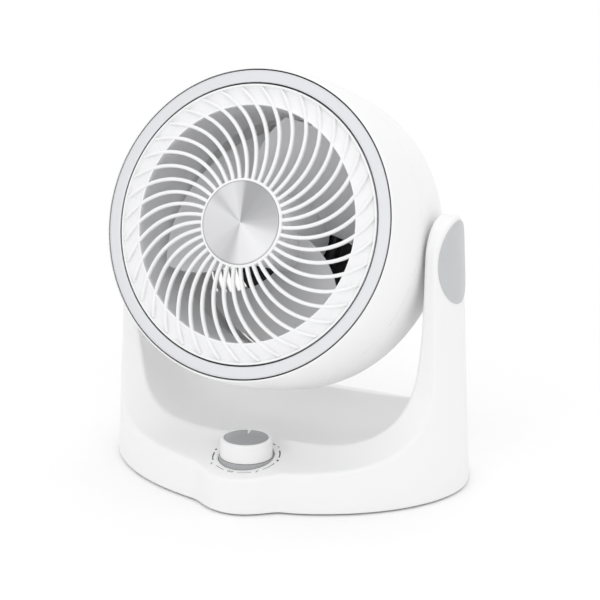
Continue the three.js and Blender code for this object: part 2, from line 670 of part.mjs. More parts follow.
function motorScrewSpots() {
  return [90, 210, 330].map((a) => (
    [MOTOR_SCREW_CIRCLE * Math.cos(rad(a)), MOTOR_SCREW_CIRCLE * Math.sin(rad(a))]));
}

function motorScrewHoles() {
  const hole = () => rod(1.8, -REAR_PLANE - 20, -MOTOR_BACK + 2 * MOTOR_WALL, 8);
  return join(motorScrewSpots().map(([x, z]) => move(hole(), x, 0, z)));
}

function motorHousing() {
  const bore = BEARING_RADIUS + FIT;
  const flange = MOTOR_FRONT + MOTOR_FLANGE;
  return headTurned([
    [bore, MOTOR_FRONT], [MOTOR_RADIUS, MOTOR_FRONT], [MOTOR_RADIUS, flange],
    [MOTOR_FLANGE_RADIUS, flange], [MOTOR_FLANGE_RADIUS, flange + MOTOR_WALL],
    [MOTOR_RADIUS, flange + MOTOR_WALL], [MOTOR_RADIUS, MOTOR_BACK], [0, MOTOR_BACK],
    [0, MOTOR_BACK - MOTOR_WALL], [MOTOR_RADIUS - MOTOR_WALL, MOTOR_BACK - MOTOR_WALL],
    [MOTOR_RADIUS - MOTOR_WALL, MOTOR_FRONT + MOTOR_WALL], [bore, MOTOR_FRONT + MOTOR_WALL],
  ], MIDDLE).subtract(motorScrewHoles());
}

function motorScrew(x, z) {
  const seat = rearHeight(REAR_PLATE_RADIUS) + SPOKE_DEPTH + FIT;
  const head = rod(3.2, -seat - 2, -seat, 12);
  return move(head.add(rod(1.5, -seat - 1, -seat + 10, 8)), x, 0, z);
}

// ---------- impeller ----------
function bladeSurface(start, share, along) {
  const r = IMPELLER_HUB - 1.2 + (BLADE_TIP - IMPELLER_HUB + 1.2) * share;
  const angle = start + rad(BLADE_START + BLADE_SWEEP * share ** 1.1 + BLADE_SPAN * (along - 0.5));
  const depth = BLADE_FRONT + (BLADE_REAR - BLADE_FRONT) * (1 - along);
  const bow = BLADE_BOW * Math.sin(Math.PI * along);
  return [r * Math.cos(angle), -(depth + bow), -r * Math.sin(angle)];
}

function blade(start) {
  const rows = 4;
  const columns = 5;
  const front = [];
  for (let i = 0; i < rows; i += 1) {
    for (let j = 0; j < columns; j += 1) front.push(bladeSurface(start, i / (rows - 1), j / (columns - 1)));
  }
  return sheet(front, front.map(([x, y, z]) => [x, y - BLADE_THICK, z]), rows, columns);
}

function impeller() {
  const back = IMPELLER_FRONT + IMPELLER_DEPTH;
  const bore = SHAFT_RADIUS + FIT;
  let body = headTurned([
    [bore, IMPELLER_FRONT], [IMPELLER_HUB - 4, IMPELLER_FRONT], [IMPELLER_HUB, IMPELLER_FRONT + 4],
    [IMPELLER_HUB, back], [IMPELLER_HUB - IMPELLER_WALL, back],
    [IMPELLER_HUB - IMPELLER_WALL, IMPELLER_FRONT + 5], [IMPELLER_HUB - 5, IMPELLER_FRONT + IMPELLER_WALL],
    [bore + 4, IMPELLER_FRONT + IMPELLER_WALL], [bore + 4, back - 6], [bore, back - 6],
  ], SMALL);
  for (let i = 0; i < BLADE_COUNT; i += 1) body = body.add(blade((2 * Math.PI * i) / BLADE_COUNT));
  return body;
}

// ---------- pieces of the base ----------
const white = () => fixed('#f4f4f4', 0.45);
const armWhite = () => fixed('#eeeeee', 0.4);
const grey = () => fixed('#c8c9cb', 0.5);
const dark = () => fixed('#3a3b3d', 0.6);
const steel = () => fixed('#b9bbbe', 0.35, 1);
const silver = () => fixed('#d9dadc', 0.3, 1);

piece('yoke_shell', yokeShell(), armWhite());
piece('base_plate', basePlate(), fixed('#e4e4e4', 0.6));
[[-1, -1], [1, -1], [1, 1], [-1, 1]].forEach(([sx, sy], i) => {
  const foot = rod(FOOT_RADIUS, 0, PLATE_BOTTOM - FIT);
  piece(`rubber_foot_${i + 1}`, upright(foot, sx * FOOT_X, sy * FOOT_Y), dark());
});
baseScrewSpots().forEach(([x, y], i) => piece(`base_screw_${i + 1}`, baseScrew(x, y), steel()));
piece('pivot_cap_right', pivotCap(), grey());
piece('pivot_cap_left', mirrorX(pivotCap()), grey());
const bushing = atPivot(ring(PIN_RADIUS + RUN, BUSH_RADIUS, BOWL_HALF_X, BOWL_HALF_X + WALL));
piece('pivot_bushing_right', bushing, fixed('#d8d4c8', 0.6));
piece('pivot_bushing_left', mirrorX(bushing), fixed('#d8d4c8', 0.6));
piece('knob_collar', atKnob(ring(SPINDLE_RADIUS + 1, COLLAR_RADIUS, FIT - POCKET_DEPTH, COLLAR_TOP,
  MIDDLE)), grey());
piece('rotary_switch', atKnob(ring(SPINDLE_RADIUS + RUN, SWITCH_RADIUS,
  SWITCH_TOP - SWITCH_HEIGHT, SWITCH_TOP)), dark());
piece('cord_gland', glandAt(join([ring(2.8, GLAND_RADIUS, -6, WALL - FIT),
  ring(2.8, GLAND_RADIUS + 2.5, -4, -4 * FIT)])), dark());
piece('terminal_block', block(TERMINAL_WIDTH, TERMINAL_DEPTH, TERMINAL_HEIGHT,
  -BLOCK_X, BLOCK_Y, FLOOR_GAP + FIT + TERMINAL_HEIGHT / 2), fixed('#efefe6', 0.5));
piece('capacitor', block(CAPACITOR_WIDTH, CAPACITOR_DEPTH, CAPACITOR_HEIGHT,
  BLOCK_X, BLOCK_Y, FLOOR_GAP + FIT + CAPACITOR_HEIGHT / 2), fixed('#2e2f31', 0.5));

// ---------- pieces of the knob ----------
piece('knob_body', atKnob(knobBody()), white());
piece('knob_top_disc', atKnob(knobDisc()), fixed('#9e9ea0', 0.45, 0.6));
piece('knob_spindle', atKnob(rod(SPINDLE_RADIUS, SWITCH_TOP - SWITCH_HEIGHT + 1,
  COLLAR_TOP + KNOB_HEIGHT - 3)), steel());

// ---------- pieces of the head ----------
piece('front_shell', inHead(frontShell()), white());
piece('rear_shell', inHead(rearShell()), white());
piece('front_grille', inHead(frontGrille()), white());
const badgeSeat = dome(HUB_RADIUS) + FIT;
piece('hub_badge', inHead(rod(BADGE_RADIUS, badgeSeat, badgeSeat + BADGE_THICK, RIB_COUNT)), silver());
piece('bezel_ring', inHead(headTurned([[BEZEL_INNER, 0], [BEZEL_OUTER, 0], [BEZEL_OUTER, BEZEL_THICK],
  [BEZEL_INNER, BEZEL_THICK]])), silver());
piece('bezel_gasket', inHead(headTurned([
  [BEZEL_INNER - 0.3, BEZEL_THICK + FIT], [LIP_RADIUS - FIT, BEZEL_THICK + FIT],
  [LIP_RADIUS - FIT, LIP_DEPTH - FIT], [BEZEL_INNER - 0.3, LIP_DEPTH - FIT]])), dark());
piece('air_duct', inHead(airDuct()), grey());
piece('rear_grille', inHead(rearGrille()), white());
piece('motor_housing', inHead(motorHousing()), fixed('#1d1d1f', 0.4, 0));
const statorOuter = MOTOR_RADIUS - MOTOR_WALL - FIT;
piece('motor_stator', inHead(headTurned([[STATOR_INNER, CORE_FRONT], [statorOuter, CORE_FRONT],
  [statorOuter, CORE_REAR], [STATOR_INNER, CORE_REAR]], MIDDLE)), fixed('#7c4a2a', 0.5, 0.6));
const bearing = (from) => inHead(headTurned([[SHAFT_RADIUS + RUN, from], [BEARING_RADIUS, from],
  [BEARING_RADIUS, from + BEARING_LENGTH], [SHAFT_RADIUS + RUN, from + BEARING_LENGTH]], SMALL));
piece('front_bearing', bearing(MOTOR_FRONT - 2), steel());
piece('rear_bearing', bearing(MOTOR_BACK - MOTOR_WALL - FIT - BEARING_LENGTH), steel());
motorScrewSpots().forEach(([x, z], i) => piece(`motor_screw_${i + 1}`, inHead(motorScrew(x, z)), steel()));

const flangeOut = HEAD_RADIUS - HEAD_WALL - 1.8;
const flangeIn = flangeOut - PIN_FLANGE_THICK;
const pin = atPivot(rod(PIN_RADIUS, flangeIn, PIN_END).add(rod(PIN_FLANGE, flangeIn, flangeOut)));
piece('pivot_pin_right', pin, steel());
piece('pivot_pin_left', mirrorX(pin), steel());
const washer = atPivot(ring(PIN_RADIUS + RUN, WASHER_RADIUS, HEAD_RADIUS + FIT, BOWL_HALF_X - FIT));
piece('friction_washer_right', washer, dark());
piece('friction_washer_left', mirrorX(washer), dark());
const nut = atPivot(hexNut(PIN_RADIUS + FIT, NUT_RADIUS, NUT_SEAT, NUT_SEAT + NUT_THICK));
piece('pivot_nut_right', nut, steel());
piece('pivot_nut_left', mirrorX(nut), steel());

// ---------- pieces that spin ----------
piece('impeller', inHead(impeller()), fixed('#b4b5b7', 0.5));
piece('motor_shaft', inHead(rod(SHAFT_RADIUS, -SHAFT_REAR, -SHAFT_FRONT)), steel());
piece('rotor_core', inHead(headTurned([[SHAFT_RADIUS + FIT, CORE_FRONT], [STATOR_INNER - 0.8, CORE_FRONT],
  [STATOR_INNER - 0.8, CORE_REAR], [SHAFT_RADIUS + FIT, CORE_REAR]], MIDDLE)), fixed('#6f7173', 0.4, 0.9));
const nutSeat = FIT - IMPELLER_FRONT;
piece('impeller_nut', inHead(hexNut(SHAFT_RADIUS + FIT, 7, nutSeat, nutSeat + 4)), steel());

export default group;
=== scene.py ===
# %% [markdown]
# # An air circulator fan in Blender
# The imported CAD model is a frame of plain solids that already has every piece in its place
# and every joint at work. This notebook dresses it: the smooth moulded skins that plain
# solids can't show are worked out again with numpy, and every surface gets its plastic,
# rubber or metal. We begin by loading the frame.

# %% Open the imported model
import json
import math
import bmesh
import bpy
import numpy as np
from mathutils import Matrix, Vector


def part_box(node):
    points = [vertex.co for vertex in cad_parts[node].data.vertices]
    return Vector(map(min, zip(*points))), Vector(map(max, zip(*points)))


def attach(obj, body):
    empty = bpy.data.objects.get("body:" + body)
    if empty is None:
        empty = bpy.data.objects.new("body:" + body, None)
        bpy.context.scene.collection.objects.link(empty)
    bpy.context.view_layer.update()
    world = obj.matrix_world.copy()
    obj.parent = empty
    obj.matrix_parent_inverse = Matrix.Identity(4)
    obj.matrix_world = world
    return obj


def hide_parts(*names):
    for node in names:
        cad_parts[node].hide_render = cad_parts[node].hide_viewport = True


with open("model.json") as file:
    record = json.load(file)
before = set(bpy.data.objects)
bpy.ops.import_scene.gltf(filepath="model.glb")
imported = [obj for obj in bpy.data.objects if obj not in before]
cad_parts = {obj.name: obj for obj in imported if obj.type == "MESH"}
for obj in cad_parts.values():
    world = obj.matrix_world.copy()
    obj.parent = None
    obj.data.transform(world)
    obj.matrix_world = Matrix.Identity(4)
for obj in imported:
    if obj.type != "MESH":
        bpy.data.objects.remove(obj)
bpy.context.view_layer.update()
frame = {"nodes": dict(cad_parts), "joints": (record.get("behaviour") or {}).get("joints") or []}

# %% [markdown]
# ## Where things are
# All shapes below are worked out in millimetres in the frame of the CAD model: Z is up, the
# front looks towards -Y. The head is easier to think of on its own axis, so one function
# turns "this far from the axis, at this angle, this far behind the face" into a point. The
# knob, the feet and the cord opening get such a function of their own later. The tilt axis
# is read from the model's own joint, and nothing has to be fitted by eye.

# %% Tilt axis and head axis
MM = 1000.0                            # millimetres in a metre: Blender's frame is in metres
joints = {joint["name"]: joint for joint in frame["joints"]}
pivot = np.array(joints["head_tilt"]["pos_m"]) * MM
face_out = np.array(joints["impeller_spin"]["axis"], float)
face_out /= np.linalg.norm(face_out)
right = np.array([1.0, 0.0, 0.0])
face_up = np.cross(face_out, right)
RING_AHEAD = 85.0                      # the face lies this far in front of the tilt axis
ring_centre = pivot + RING_AHEAD * face_out


def round_axis(centre, across, upward, outward):
    """Makes a function: centre, plus radius times (cosine across, sine upward), plus a distance outward."""
    def point(radius, angle, distance):
        radius, angle, distance = np.broadcast_arrays(radius, angle, distance)
        on_circle = np.cos(angle)[..., None] * across + np.sin(angle)[..., None] * upward
        return centre + radius[..., None] * on_circle + distance[..., None] * outward
    return point


head_point = round_axis(ring_centre, right, face_up, -face_out)    # the distance is the depth behind the face
print("tilt axis at", pivot.round(2), "face looks along", face_out.round(3))

# %% [markdown]
# ## From a grid of points to a piece
# A moulded skin is a sheet of points in rows and columns. One function joins the sheets of
# a piece, merges the points they share, turns every face outwards and makes the Blender
# object. Drawing faces by hand or in Edit Mode would also work, but a grid keeps every
# edge loop in order and can be worked out again with another size in a moment.

# %% Grid to piece
STEP = 0.004                           # mm, points nearer than this are one point


def grid_faces(rows, columns):
    """Corner numbers of the four-sided cells of a grid that is numbered row by row."""
    number = np.arange(rows * columns).reshape(rows, columns)
    return np.stack([number[:-1, :-1], number[1:, :-1], number[1:, 1:], number[:-1, 1:]], -1).reshape(-1, 4)


def new_object(name, data):
    """An object for this mesh, lamp or camera, in the scene."""
    made = bpy.data.objects.new(name, data)
    bpy.context.scene.collection.objects.link(made)
    return made


def make_piece(name, grids, body, stands_for, finish, sharp=32.0):
    """Joins grids of millimetre points into one closed skin in metres and rides it on a body."""
    corners, faces, start = [], [], 0
    for grid in grids:
        grid = np.asarray(grid, float)
        faces.append(grid_faces(*grid.shape[:2]) + start)
        corners.append(grid.reshape(-1, 3))
        start += grid.shape[0] * grid.shape[1]
    mesh = bpy.data.meshes.new(name)
    mesh.from_pydata((np.concatenate(corners) / MM).tolist(), [], np.concatenate(faces).tolist())
    shape = bmesh.new()
    shape.from_mesh(mesh)
    bmesh.ops.remove_doubles(shape, verts=shape.verts, dist=STEP / MM)
    bmesh.ops.dissolve_degenerate(shape, edges=shape.edges, dist=STEP / 4 / MM)
    bmesh.ops.recalc_face_normals(shape, faces=shape.faces)
    loose = sum(1 for edge in shape.edges if not edge.is_manifold)
    shape.to_mesh(mesh)
    shape.free()
    mesh.polygons.foreach_set("use_smooth", np.ones(len(mesh.polygons), bool))
    mesh.set_sharp_from_angle(angle=math.radians(sharp))
    mesh.materials.append(finish)
    piece = new_object(name, mesh)
    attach(piece, body)
    if stands_for:
        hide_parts(*stands_for)
    print(f"{name}: {len(mesh.polygons)} faces, {loose} open edges")


# %% [markdown]
# Two curves come back again and again. A cross-section with its corners rounded off, and
# that cross-section turned round the head's axis, as on a lathe. Blender's Spin tool does
# the same, but here the turned skin is one line of numpy. Each rounded corner also gets a
# point a little before and after it, so that the flats beside it shade flat.

# %% Rounded cross-sections and turned skins
def rounded(profile, radii, steps=4, closed=True):
    """Each corner becomes a quadratic curve (1-t)^2 A + 2t(1-t) P + t^2 B, from A to B on its two sides."""
    profile = np.asarray(profile, float)
    count = len(profile)
    radii = np.broadcast_to(np.asarray(radii, float), (count,))
    out = []
    for i, (point, radius) in enumerate(zip(profile, radii)):
        if not closed and i in (0, count - 1) or radius <= 0:
            out.append(point[None])
            continue
        before, after = profile[i - 1] - point, profile[(i + 1) % count] - point
        reach = [min(radius, 0.42 * np.linalg.norm(side)) for side in (before, after)]
        a, b = (point + side / np.linalg.norm(side) * r for side, r in zip((before, after), reach))
        t = np.linspace(0.0, 1.0, steps + 1)[:, None]
        curve = (1 - t) ** 2 * a + 2 * t * (1 - t) * point + t ** 2 * b
        out.append(np.concatenate([[a + (a - point) * 0.16], curve, [b + (b - point) * 0.16]]))
    out = np.concatenate(out)
    return np.concatenate([out, out[:1]]) if closed else out


def turned(section, radii, sides, place=head_point):
    """Every point (radius, depth) of the rounded section is carried once round the axis."""
    profile = rounded(section, radii, closed=section[0][0] > 0)    # from the axis back to the axis, or closed
    angle = np.linspace(0.0, 2 * np.pi, sides + 1)
    return place(profile[:, None, 0], angle[None], profile[:, None, 1])


corner_test = rounded([(1, 0), (2, 0), (2, 1)], [0, 0.5, 0], closed=False)
print("a rounded corner has", len(corner_test) - 2, "points")

# %% [markdown]
# A few more small formulas are used all over this notebook: the distance walked along a row
# of points, the smooth step that eases one shape into another, a sine wave made squarer (two
# of them give a superellipse, the section of the ribs and spokes), and the two end points
# that close a tube. The signed area of a grid's cells shows whether a flat grid folds over.

# %% Small formulas
def running_length(points):
    """Distance walked along a row of points, from 0 at the first."""
    return np.concatenate([[0.0], np.cumsum(np.linalg.norm(np.diff(points, axis=0), axis=1))])


def smooth(share):
    """Smooth step t^2 (3 - 2t) of a share that is kept between 0 and 1."""
    share = np.clip(share, 0.0, 1.0)
    return share ** 2 * (3 - 2 * share)


def squarer(wave, power):
    """The wave's sign times its size to a power below 1."""
    return np.sign(wave) * np.abs(wave) ** power


def middle_of(row):
    """A row of the same length with every point in the middle of the row."""
    return np.broadcast_to(row.mean(0), row[None].shape)


def closed_tube(grid):
    """The grid with the middle of its first row before it and the middle of its last row behind it."""
    return np.concatenate([middle_of(grid[0]), grid, middle_of(grid[-1])])


def cell_areas(grid):
    """Signed area of each cell of a flat grid: the cross product of its first two sides."""
    across, down = np.diff(grid[:-1], axis=1), np.diff(grid[:, :-1], axis=0)
    return across[..., 0] * down[..., 1] - across[..., 1] * down[..., 0]


print("smooth steps of a quarter, a half and one:", smooth(np.array([0.25, 0.5, 1.0])))


# %% [markdown]
# ## Finishes
# Nearly all of this fan is injection-moulded plastic. Such a surface is never a perfect
# mirror: it carries a very fine texture from its mould and wide, barely visible waves from
# cooling. A colour is written as sRGB hex, as a designer writes it, and one function turns
# it into the linear numbers that Cycles works with. A small helper adds a node with its
# settings and links, and the materials below are written with it.

# %% Colour and node helpers
def linear(hexcode):
    """sRGB hex to linear: below 0.04045 divide by 12.92, above it ((c + 0.055) / 1.055) to the power 2.4."""
    channels = [int(hexcode[i:i + 2], 16) / 255.0 for i in (1, 3, 5)]
    return tuple(c / 12.92 if c <= 0.04045 else ((c + 0.055) / 1.055) ** 2.4 for c in channels) + (1.0,)


def add(tree, kind, settings=None, **inputs):
    """One node: settings are its properties, inputs its sockets, each a value or another node's output.

    A socket goes by its name, with _ for a space, or by its number, as i0, where names repeat."""
    node = tree.nodes.new(kind)
    for key, value in (settings or {}).items():
        setattr(node, key, value)
    for key, value in inputs.items():
        numbered = key[0] == "i" and key[1:].isdigit()
        socket = node.inputs[int(key[1:]) if numbered else key.replace("_", " ")]
        if isinstance(value, bpy.types.NodeSocket):
            tree.links.new(value, socket)
        else:
            socket.default_value = value
    return node


def fresh(name, **inputs):
    """A material with its shader node, the inputs set on the shader's own sockets, and object coordinates."""
    material = bpy.data.materials.new(name)
    material.use_nodes = True
    tree = material.node_tree
    tree.nodes.clear()
    shader = add(tree, "ShaderNodeBsdfPrincipled", **inputs)
    add(tree, "ShaderNodeOutputMaterial", Surface=shader.outputs[0])
    return material, tree, shader, add(tree, "ShaderNodeTexCoord").outputs["Object"]


def grainy(tree, shader, pattern, low, high, height, strength=1.0, lowest=0.0, **under):
    """A pattern from its lowest value to 1 moves the roughness from low to high and adds a height in mm."""
    spread = add(tree, "ShaderNodeMapRange", Value=pattern, i1=lowest, i3=low, i4=high)
    bump = add(tree, "ShaderNodeBump", Strength=strength, Distance=height / MM, Height=pattern, **under)
    tree.links.new(spread.outputs[0], shader.inputs["Roughness"])
    tree.links.new(bump.outputs[0], shader.inputs["Normal"])


WAVE_SIZE, WAVE_HEIGHT = 45.0, 0.004   # mm, the waves that cooling leaves in a moulded wall


def moulded(name, colour, roughness, ior=1.53, grain=0.35, depth=0.02, blotch=0.0):
    """A moulded plastic: mould grain of a size and a depth in mm, wide cooling waves, and a roughness that
    wanders by a tenth. Object coordinates are metres, so a pattern of 1 mm has a scale of MM."""
    material, tree, shader, where = fresh(name, Base_Color=linear(colour), IOR=ior)
    fine = add(tree, "ShaderNodeTexNoise", Vector=where, Scale=MM / grain / 2, Detail=2.0, Roughness=0.55)
    wide = add(tree, "ShaderNodeTexNoise", Vector=where, Scale=MM / WAVE_SIZE, Detail=2.0, Roughness=0.4)
    bump = add(tree, "ShaderNodeBump", Strength=1.0, Distance=depth / MM, Height=fine.outputs["Fac"])
    grainy(tree, shader, wide.outputs["Fac"], roughness * 0.9, roughness * 1.1, WAVE_HEIGHT,
           Normal=bump.outputs[0])
    if blotch:
        tint = add(tree, "ShaderNodeMix", {"data_type": "RGBA"}, i0=wide.outputs["Fac"],
                   i6=linear(colour), i7=tuple(c * (1 - blotch) for c in linear(colour)[:3]) + (1.0,))
        tree.links.new(tint.outputs[2], shader.inputs["Base Color"])
    return material


# %% [markdown]
# The white shells are ABS, the common plastic of household fans: an IOR near 1.53, a soft
# gloss, and a white that is a touch below pure white so that shapes can still be read. The
# base and arms are the same plastic in a slightly warmer batch, and the ribs of the front
# grille are polished a little more. The bottom plate has a coarser, duller texture.

# %% White plastics
shell_abs = moulded("moulded_white_abs", "#f6f6f6", 0.42)
arm_abs = moulded("moulded_arm_white_abs", "#f4f4f4", 0.44)
grille_abs = moulded("polished_white_abs_grille", "#f4f4f5", 0.33, grain=0.3, depth=0.012)
plate_abs = moulded("textured_white_abs_plate", "#e2e2e2", 0.6, grain=0.8, depth=0.06)
print("white plastics", [m.name for m in (shell_abs, arm_abs, grille_abs, plate_abs)])

# %% [markdown]
# ## The base and its two arms
# The base is one moulding: an oval tub with a round nose in front, from which two arms rise
# to the tilt axis, with a bowl scooped out between them so that the head can swing. In CAD it
# is an oval cone cut by a side outline and hollowed by the bowl. Cutting solids in Blender
# with Booleans would leave sharp, ragged edges that are hard to round. So each of its three
# skins (outer wall, top strip, bowl) is written as a surface of its own, all three share
# the same two rims, and the rims are rounded by a short curve from one skin to the next.
# First come the oval and the side outline.

# %% Footprint of the base
BASE_HALF_X, BASE_HALF_Y = 155.12, 118.24   # half width and depth at the floor
BASE_POWER = 1.86                          # 2 would be an ellipse
LEAN = math.tan(math.radians(3.0))         # moulding draft: the walls lean inwards
KNOB_X, KNOB_Y = 6.0, -92.5                # the knob and its nose stand a little right of the middle
NOSE_RADIUS = 37.7                         # the nose is a circle round the knob
NOSE_Y = -math.hypot(KNOB_X, KNOB_Y)       # the base is drawn with the nose in the middle, and turned later
NOSE_BLEND = 9.0                           # softness of the corner between nose and oval


def oval_radius(angle, lean):
    """Radius of the oval (|cos|/a)^p + (|sin|/b)^p = 1, with both half sizes less by the lean."""
    return ((np.abs(np.cos(angle)) / (BASE_HALF_X - lean)) ** BASE_POWER
            + (np.abs(np.sin(angle)) / (BASE_HALF_Y - lean)) ** BASE_POWER) ** (-1.0 / BASE_POWER)


def wall_radius(angle, height, inset=0.0):
    """The oval, softly joined to the nose circle: the larger of the two radii plus a smooth fillet."""
    oval = oval_radius(angle, height * LEAN + inset)
    turn = angle + np.pi / 2
    inside = (NOSE_RADIUS - inset) ** 2 - (NOSE_Y * np.sin(turn)) ** 2
    far_side = -NOSE_Y * np.cos(turn) + np.sqrt(np.maximum(inside, 0))
    nose = np.where((inside > 0) & (np.cos(turn) > 0), far_side, 0.0)
    near = np.maximum(NOSE_BLEND - np.abs(oval - nose), 0.0) / NOSE_BLEND
    return np.maximum(oval, nose) + near ** 2 * NOSE_BLEND / 4


def wall_point(angle, height, inset=0.0):
    """The point of the leaning wall at this angle and height, on the half with x above zero."""
    angle, height, inset = np.broadcast_arrays(angle, height, inset)
    radius = wall_radius(angle, height, inset)
    return np.stack([radius * np.cos(angle), radius * np.sin(angle), height], -1)


angles = np.linspace(-np.pi / 2, np.pi / 2, 6001)
around = running_length(wall_point(angles, 0.0))
print("half way round the foot:", round(around[-1], 1), "mm")

# %% [markdown]
# Seen from the side, the top of the base is one line: the sloping front panel, a hollow curve
# up into the arm, the round arm tip about the tilt axis, and the same down to the rear. The
# line is kept as a dense list of points with the length along it, because the top strip is
# drawn in just two numbers: x, and the length along this line.

# %% Side outline
TILT_Z = pivot[2]
TIP_RADIUS = 30.5                          # the arm tip is round about the tilt axis
FLANK_RADIUS, FLANK_Y, FLANK_Z = 66.0, 100.0, 101.9
FRONT_SLOPE, REAR_SLOPE = math.radians(9.5), math.radians(16.0)
OUTLINE_STEP = 0.25                        # mm between the points of the outline


def bow(centre_y, centre_z, radius, start, end):
    """Points of a circle's arc, half a degree apart."""
    a = np.linspace(start, end, 2 + int(abs(end - start) / math.radians(0.5)))
    return np.stack([centre_y + radius * np.cos(a), centre_z + radius * np.sin(a)], -1)


def side_outline():
    """Panel, hollow arc, straight flank, tip arc and the same behind, as (y, z) points from front to rear."""
    rise = TILT_Z - FLANK_Z
    apart = math.hypot(FLANK_Y, rise)
    edge = math.atan2(rise, FLANK_Y) + math.asin((FLANK_RADIUS + TIP_RADIUS) / apart) - math.pi / 2
    front = bow(-FLANK_Y, FLANK_Z, FLANK_RADIUS, FRONT_SLOPE - math.pi / 2, edge)
    tip = bow(0.0, TILT_Z, TIP_RADIUS, math.pi + edge, -edge)
    rear = bow(FLANK_Y, FLANK_Z, FLANK_RADIUS, math.pi - edge, 1.5 * math.pi - REAR_SLOPE)
    reach = BASE_HALF_X
    nose_end = [-reach, front[0, 1] - (reach + front[0, 0]) * math.tan(FRONT_SLOPE)]
    tail_end = [reach, rear[-1, 1] - (reach - rear[-1, 0]) * math.tan(REAR_SLOPE)]
    corners = np.concatenate([[nose_end], front, tip, rear, [tail_end]])
    length = running_length(corners)
    fine = np.unique(np.concatenate([length, np.arange(0.0, length[-1], OUTLINE_STEP)]))
    return fine, np.interp(fine, length, corners[:, 0]), np.interp(fine, length, corners[:, 1])


def outline_yz(length):
    """y and z of the outline at a length along it."""
    return np.interp(length, along, side_y), np.interp(length, along, side_z)


along, side_y, side_z = side_outline()
TOP = along[np.argmax(side_z)]
print("outline", round(along[-1], 1), "mm long, top at", round(side_z.max(), 1), "mm")

# %% [markdown]
# The outer rim is where the outline meets the wall. For each point of the outline we need
# the angle on the wall with the same y and z. It has no formula, but y only ever grows with
# the angle, so halving an interval 40 times finds it for the whole array at once.

# %% Outer rim
def angle_on_wall(y, z):
    """Halves the interval of angles until radius times sine equals y."""
    low, high = np.full(np.shape(y), -np.pi / 2), np.full(np.shape(y), np.pi / 2)
    for _ in range(40):
        middle = (low + high) / 2
        short = wall_radius(middle, z) * np.sin(middle) < y
        low, high = np.where(short, middle, low), np.where(short, high, middle)
    return (low + high) / 2


def end_of_outline(side):
    """The length along the outline where it leaves the wall at x = 0, in front (-1) or behind (1)."""
    out = wall_radius(np.full(along.shape, side * np.pi / 2), side_z) * side
    inside = side * (out - side_y)
    pick = np.flatnonzero(inside > 0)[0 if side < 0 else -1]
    other = pick + side
    share = inside[pick] / (inside[pick] - inside[other])
    return along[pick] + share * (along[other] - along[pick])


front_end, rear_end = end_of_outline(-1), end_of_outline(1)


def rim_by_length(start, end, count=3000):
    """Outline length and running length of the outer rim between two outline lengths, closer at the ends."""
    s = start + (end - start) * (1 - np.cos(np.linspace(0, np.pi, count))) / 2
    y, z = outline_yz(s)
    return s, running_length(wall_point(angle_on_wall(y, z), z))


print("rim from", round(front_end, 1), "to", round(rear_end, 1), "mm along the outline")

# %% [markdown]
# The bowl is a rounded box turned about the tilt axis: wide and nearly flat at the bottom,
# steep at the arms. Its sections run from the front rim to the rear rim. Near the bottom they
# are arcs about the tilt axis, and on the flat inner face of an arm they straighten out into
# level lines, so that they never crowd together.

# %% Sections of the bowl
BOWL_HALF_X, BOWL_RADIUS, BOWL_POWER = 128.3, 164.0, 4.2
LEVEL_NEAR, ARC_FAR = 60.0, 95.0           # mm below the tilt axis: level sections above these, arcs below
BOTTOM_RUN, BOTTOM_SECTIONS, SIDE_SECTIONS, TIP_SECTIONS = 46.0, 24, 61, 14


def bowl_x(y, z):
    """x on the bowl: (x / half)^p + (distance from the tilt axis / radius)^p = 1."""
    away = np.minimum(np.hypot(y, z - TILT_Z) / BOWL_RADIUS, 1.0)
    return BOWL_HALF_X * (1 - away ** BOWL_POWER) ** (1 / BOWL_POWER)


def section_height(y, low, share, away):
    """Lowest height of the section plus share times the rise of its arc at y; share 0 gives a level line."""
    rise = away - np.sqrt(np.maximum(away ** 2 - y ** 2, 0.0))
    return low + share * rise


turn = np.linspace(0.0, np.pi / 2, 4001)
line_x = BOWL_HALF_X * np.sin(turn) ** (2 / BOWL_POWER)
line_z = TILT_Z - BOWL_RADIUS * np.cos(turn) ** (2 / BOWL_POWER)
line_x = np.concatenate([line_x, np.full(400, BOWL_HALF_X)])
line_z = np.concatenate([line_z, np.linspace(TILT_Z, side_z.max(), 401)[1:]])
run = running_length(np.stack([line_x, line_z], -1))
tip_run = run[-1] - TIP_RADIUS             # from here the sections follow the round tip
tip_rise = np.sin(np.linspace(0, np.pi / 2, TIP_SECTIONS + 1)[1:])
spots = np.concatenate([np.linspace(0.0, BOTTOM_RUN, BOTTOM_SECTIONS),
                        np.linspace(BOTTOM_RUN, tip_run, SIDE_SECTIONS + 1)[1:],
                        tip_run + TIP_RADIUS * tip_rise])
low = np.interp(spots, run, line_z)
away = np.maximum(TILT_Z - low, 1.0)
share = smooth((away - LEVEL_NEAR) / (ARC_FAR - LEVEL_NEAR))


def crossings(side):
    """Where each section meets the outline, searched outwards from the top: its length along the outline."""
    keep = along <= TOP if side < 0 else along >= TOP
    s, y, z = along[keep], side_y[keep], side_z[keep]
    if side < 0:
        s, y, z = s[::-1], y[::-1], z[::-1]
    gap = z[None] - section_height(y[None], low[:, None], share[:, None], away[:, None])
    gap = np.where(np.abs(y[None]) < away[:, None] + (share[:, None] < 1) * 1e9, gap, -1.0)
    first = np.argmax(gap <= 0, axis=1)
    row = np.arange(len(low))
    before = np.maximum(first - 1, 0)
    part = gap[row, before] / np.maximum(gap[row, before] - gap[row, first], 1e-9)
    found = s[before] + part * (s[first] - s[before])
    found[-1] = TOP
    return found


front_s, rear_s = crossings(-1), crossings(1)
print(len(spots), "sections, the first from y", np.interp(front_s[0], along, side_y).round(1),
      "to", np.interp(rear_s[0], along, side_y).round(1))

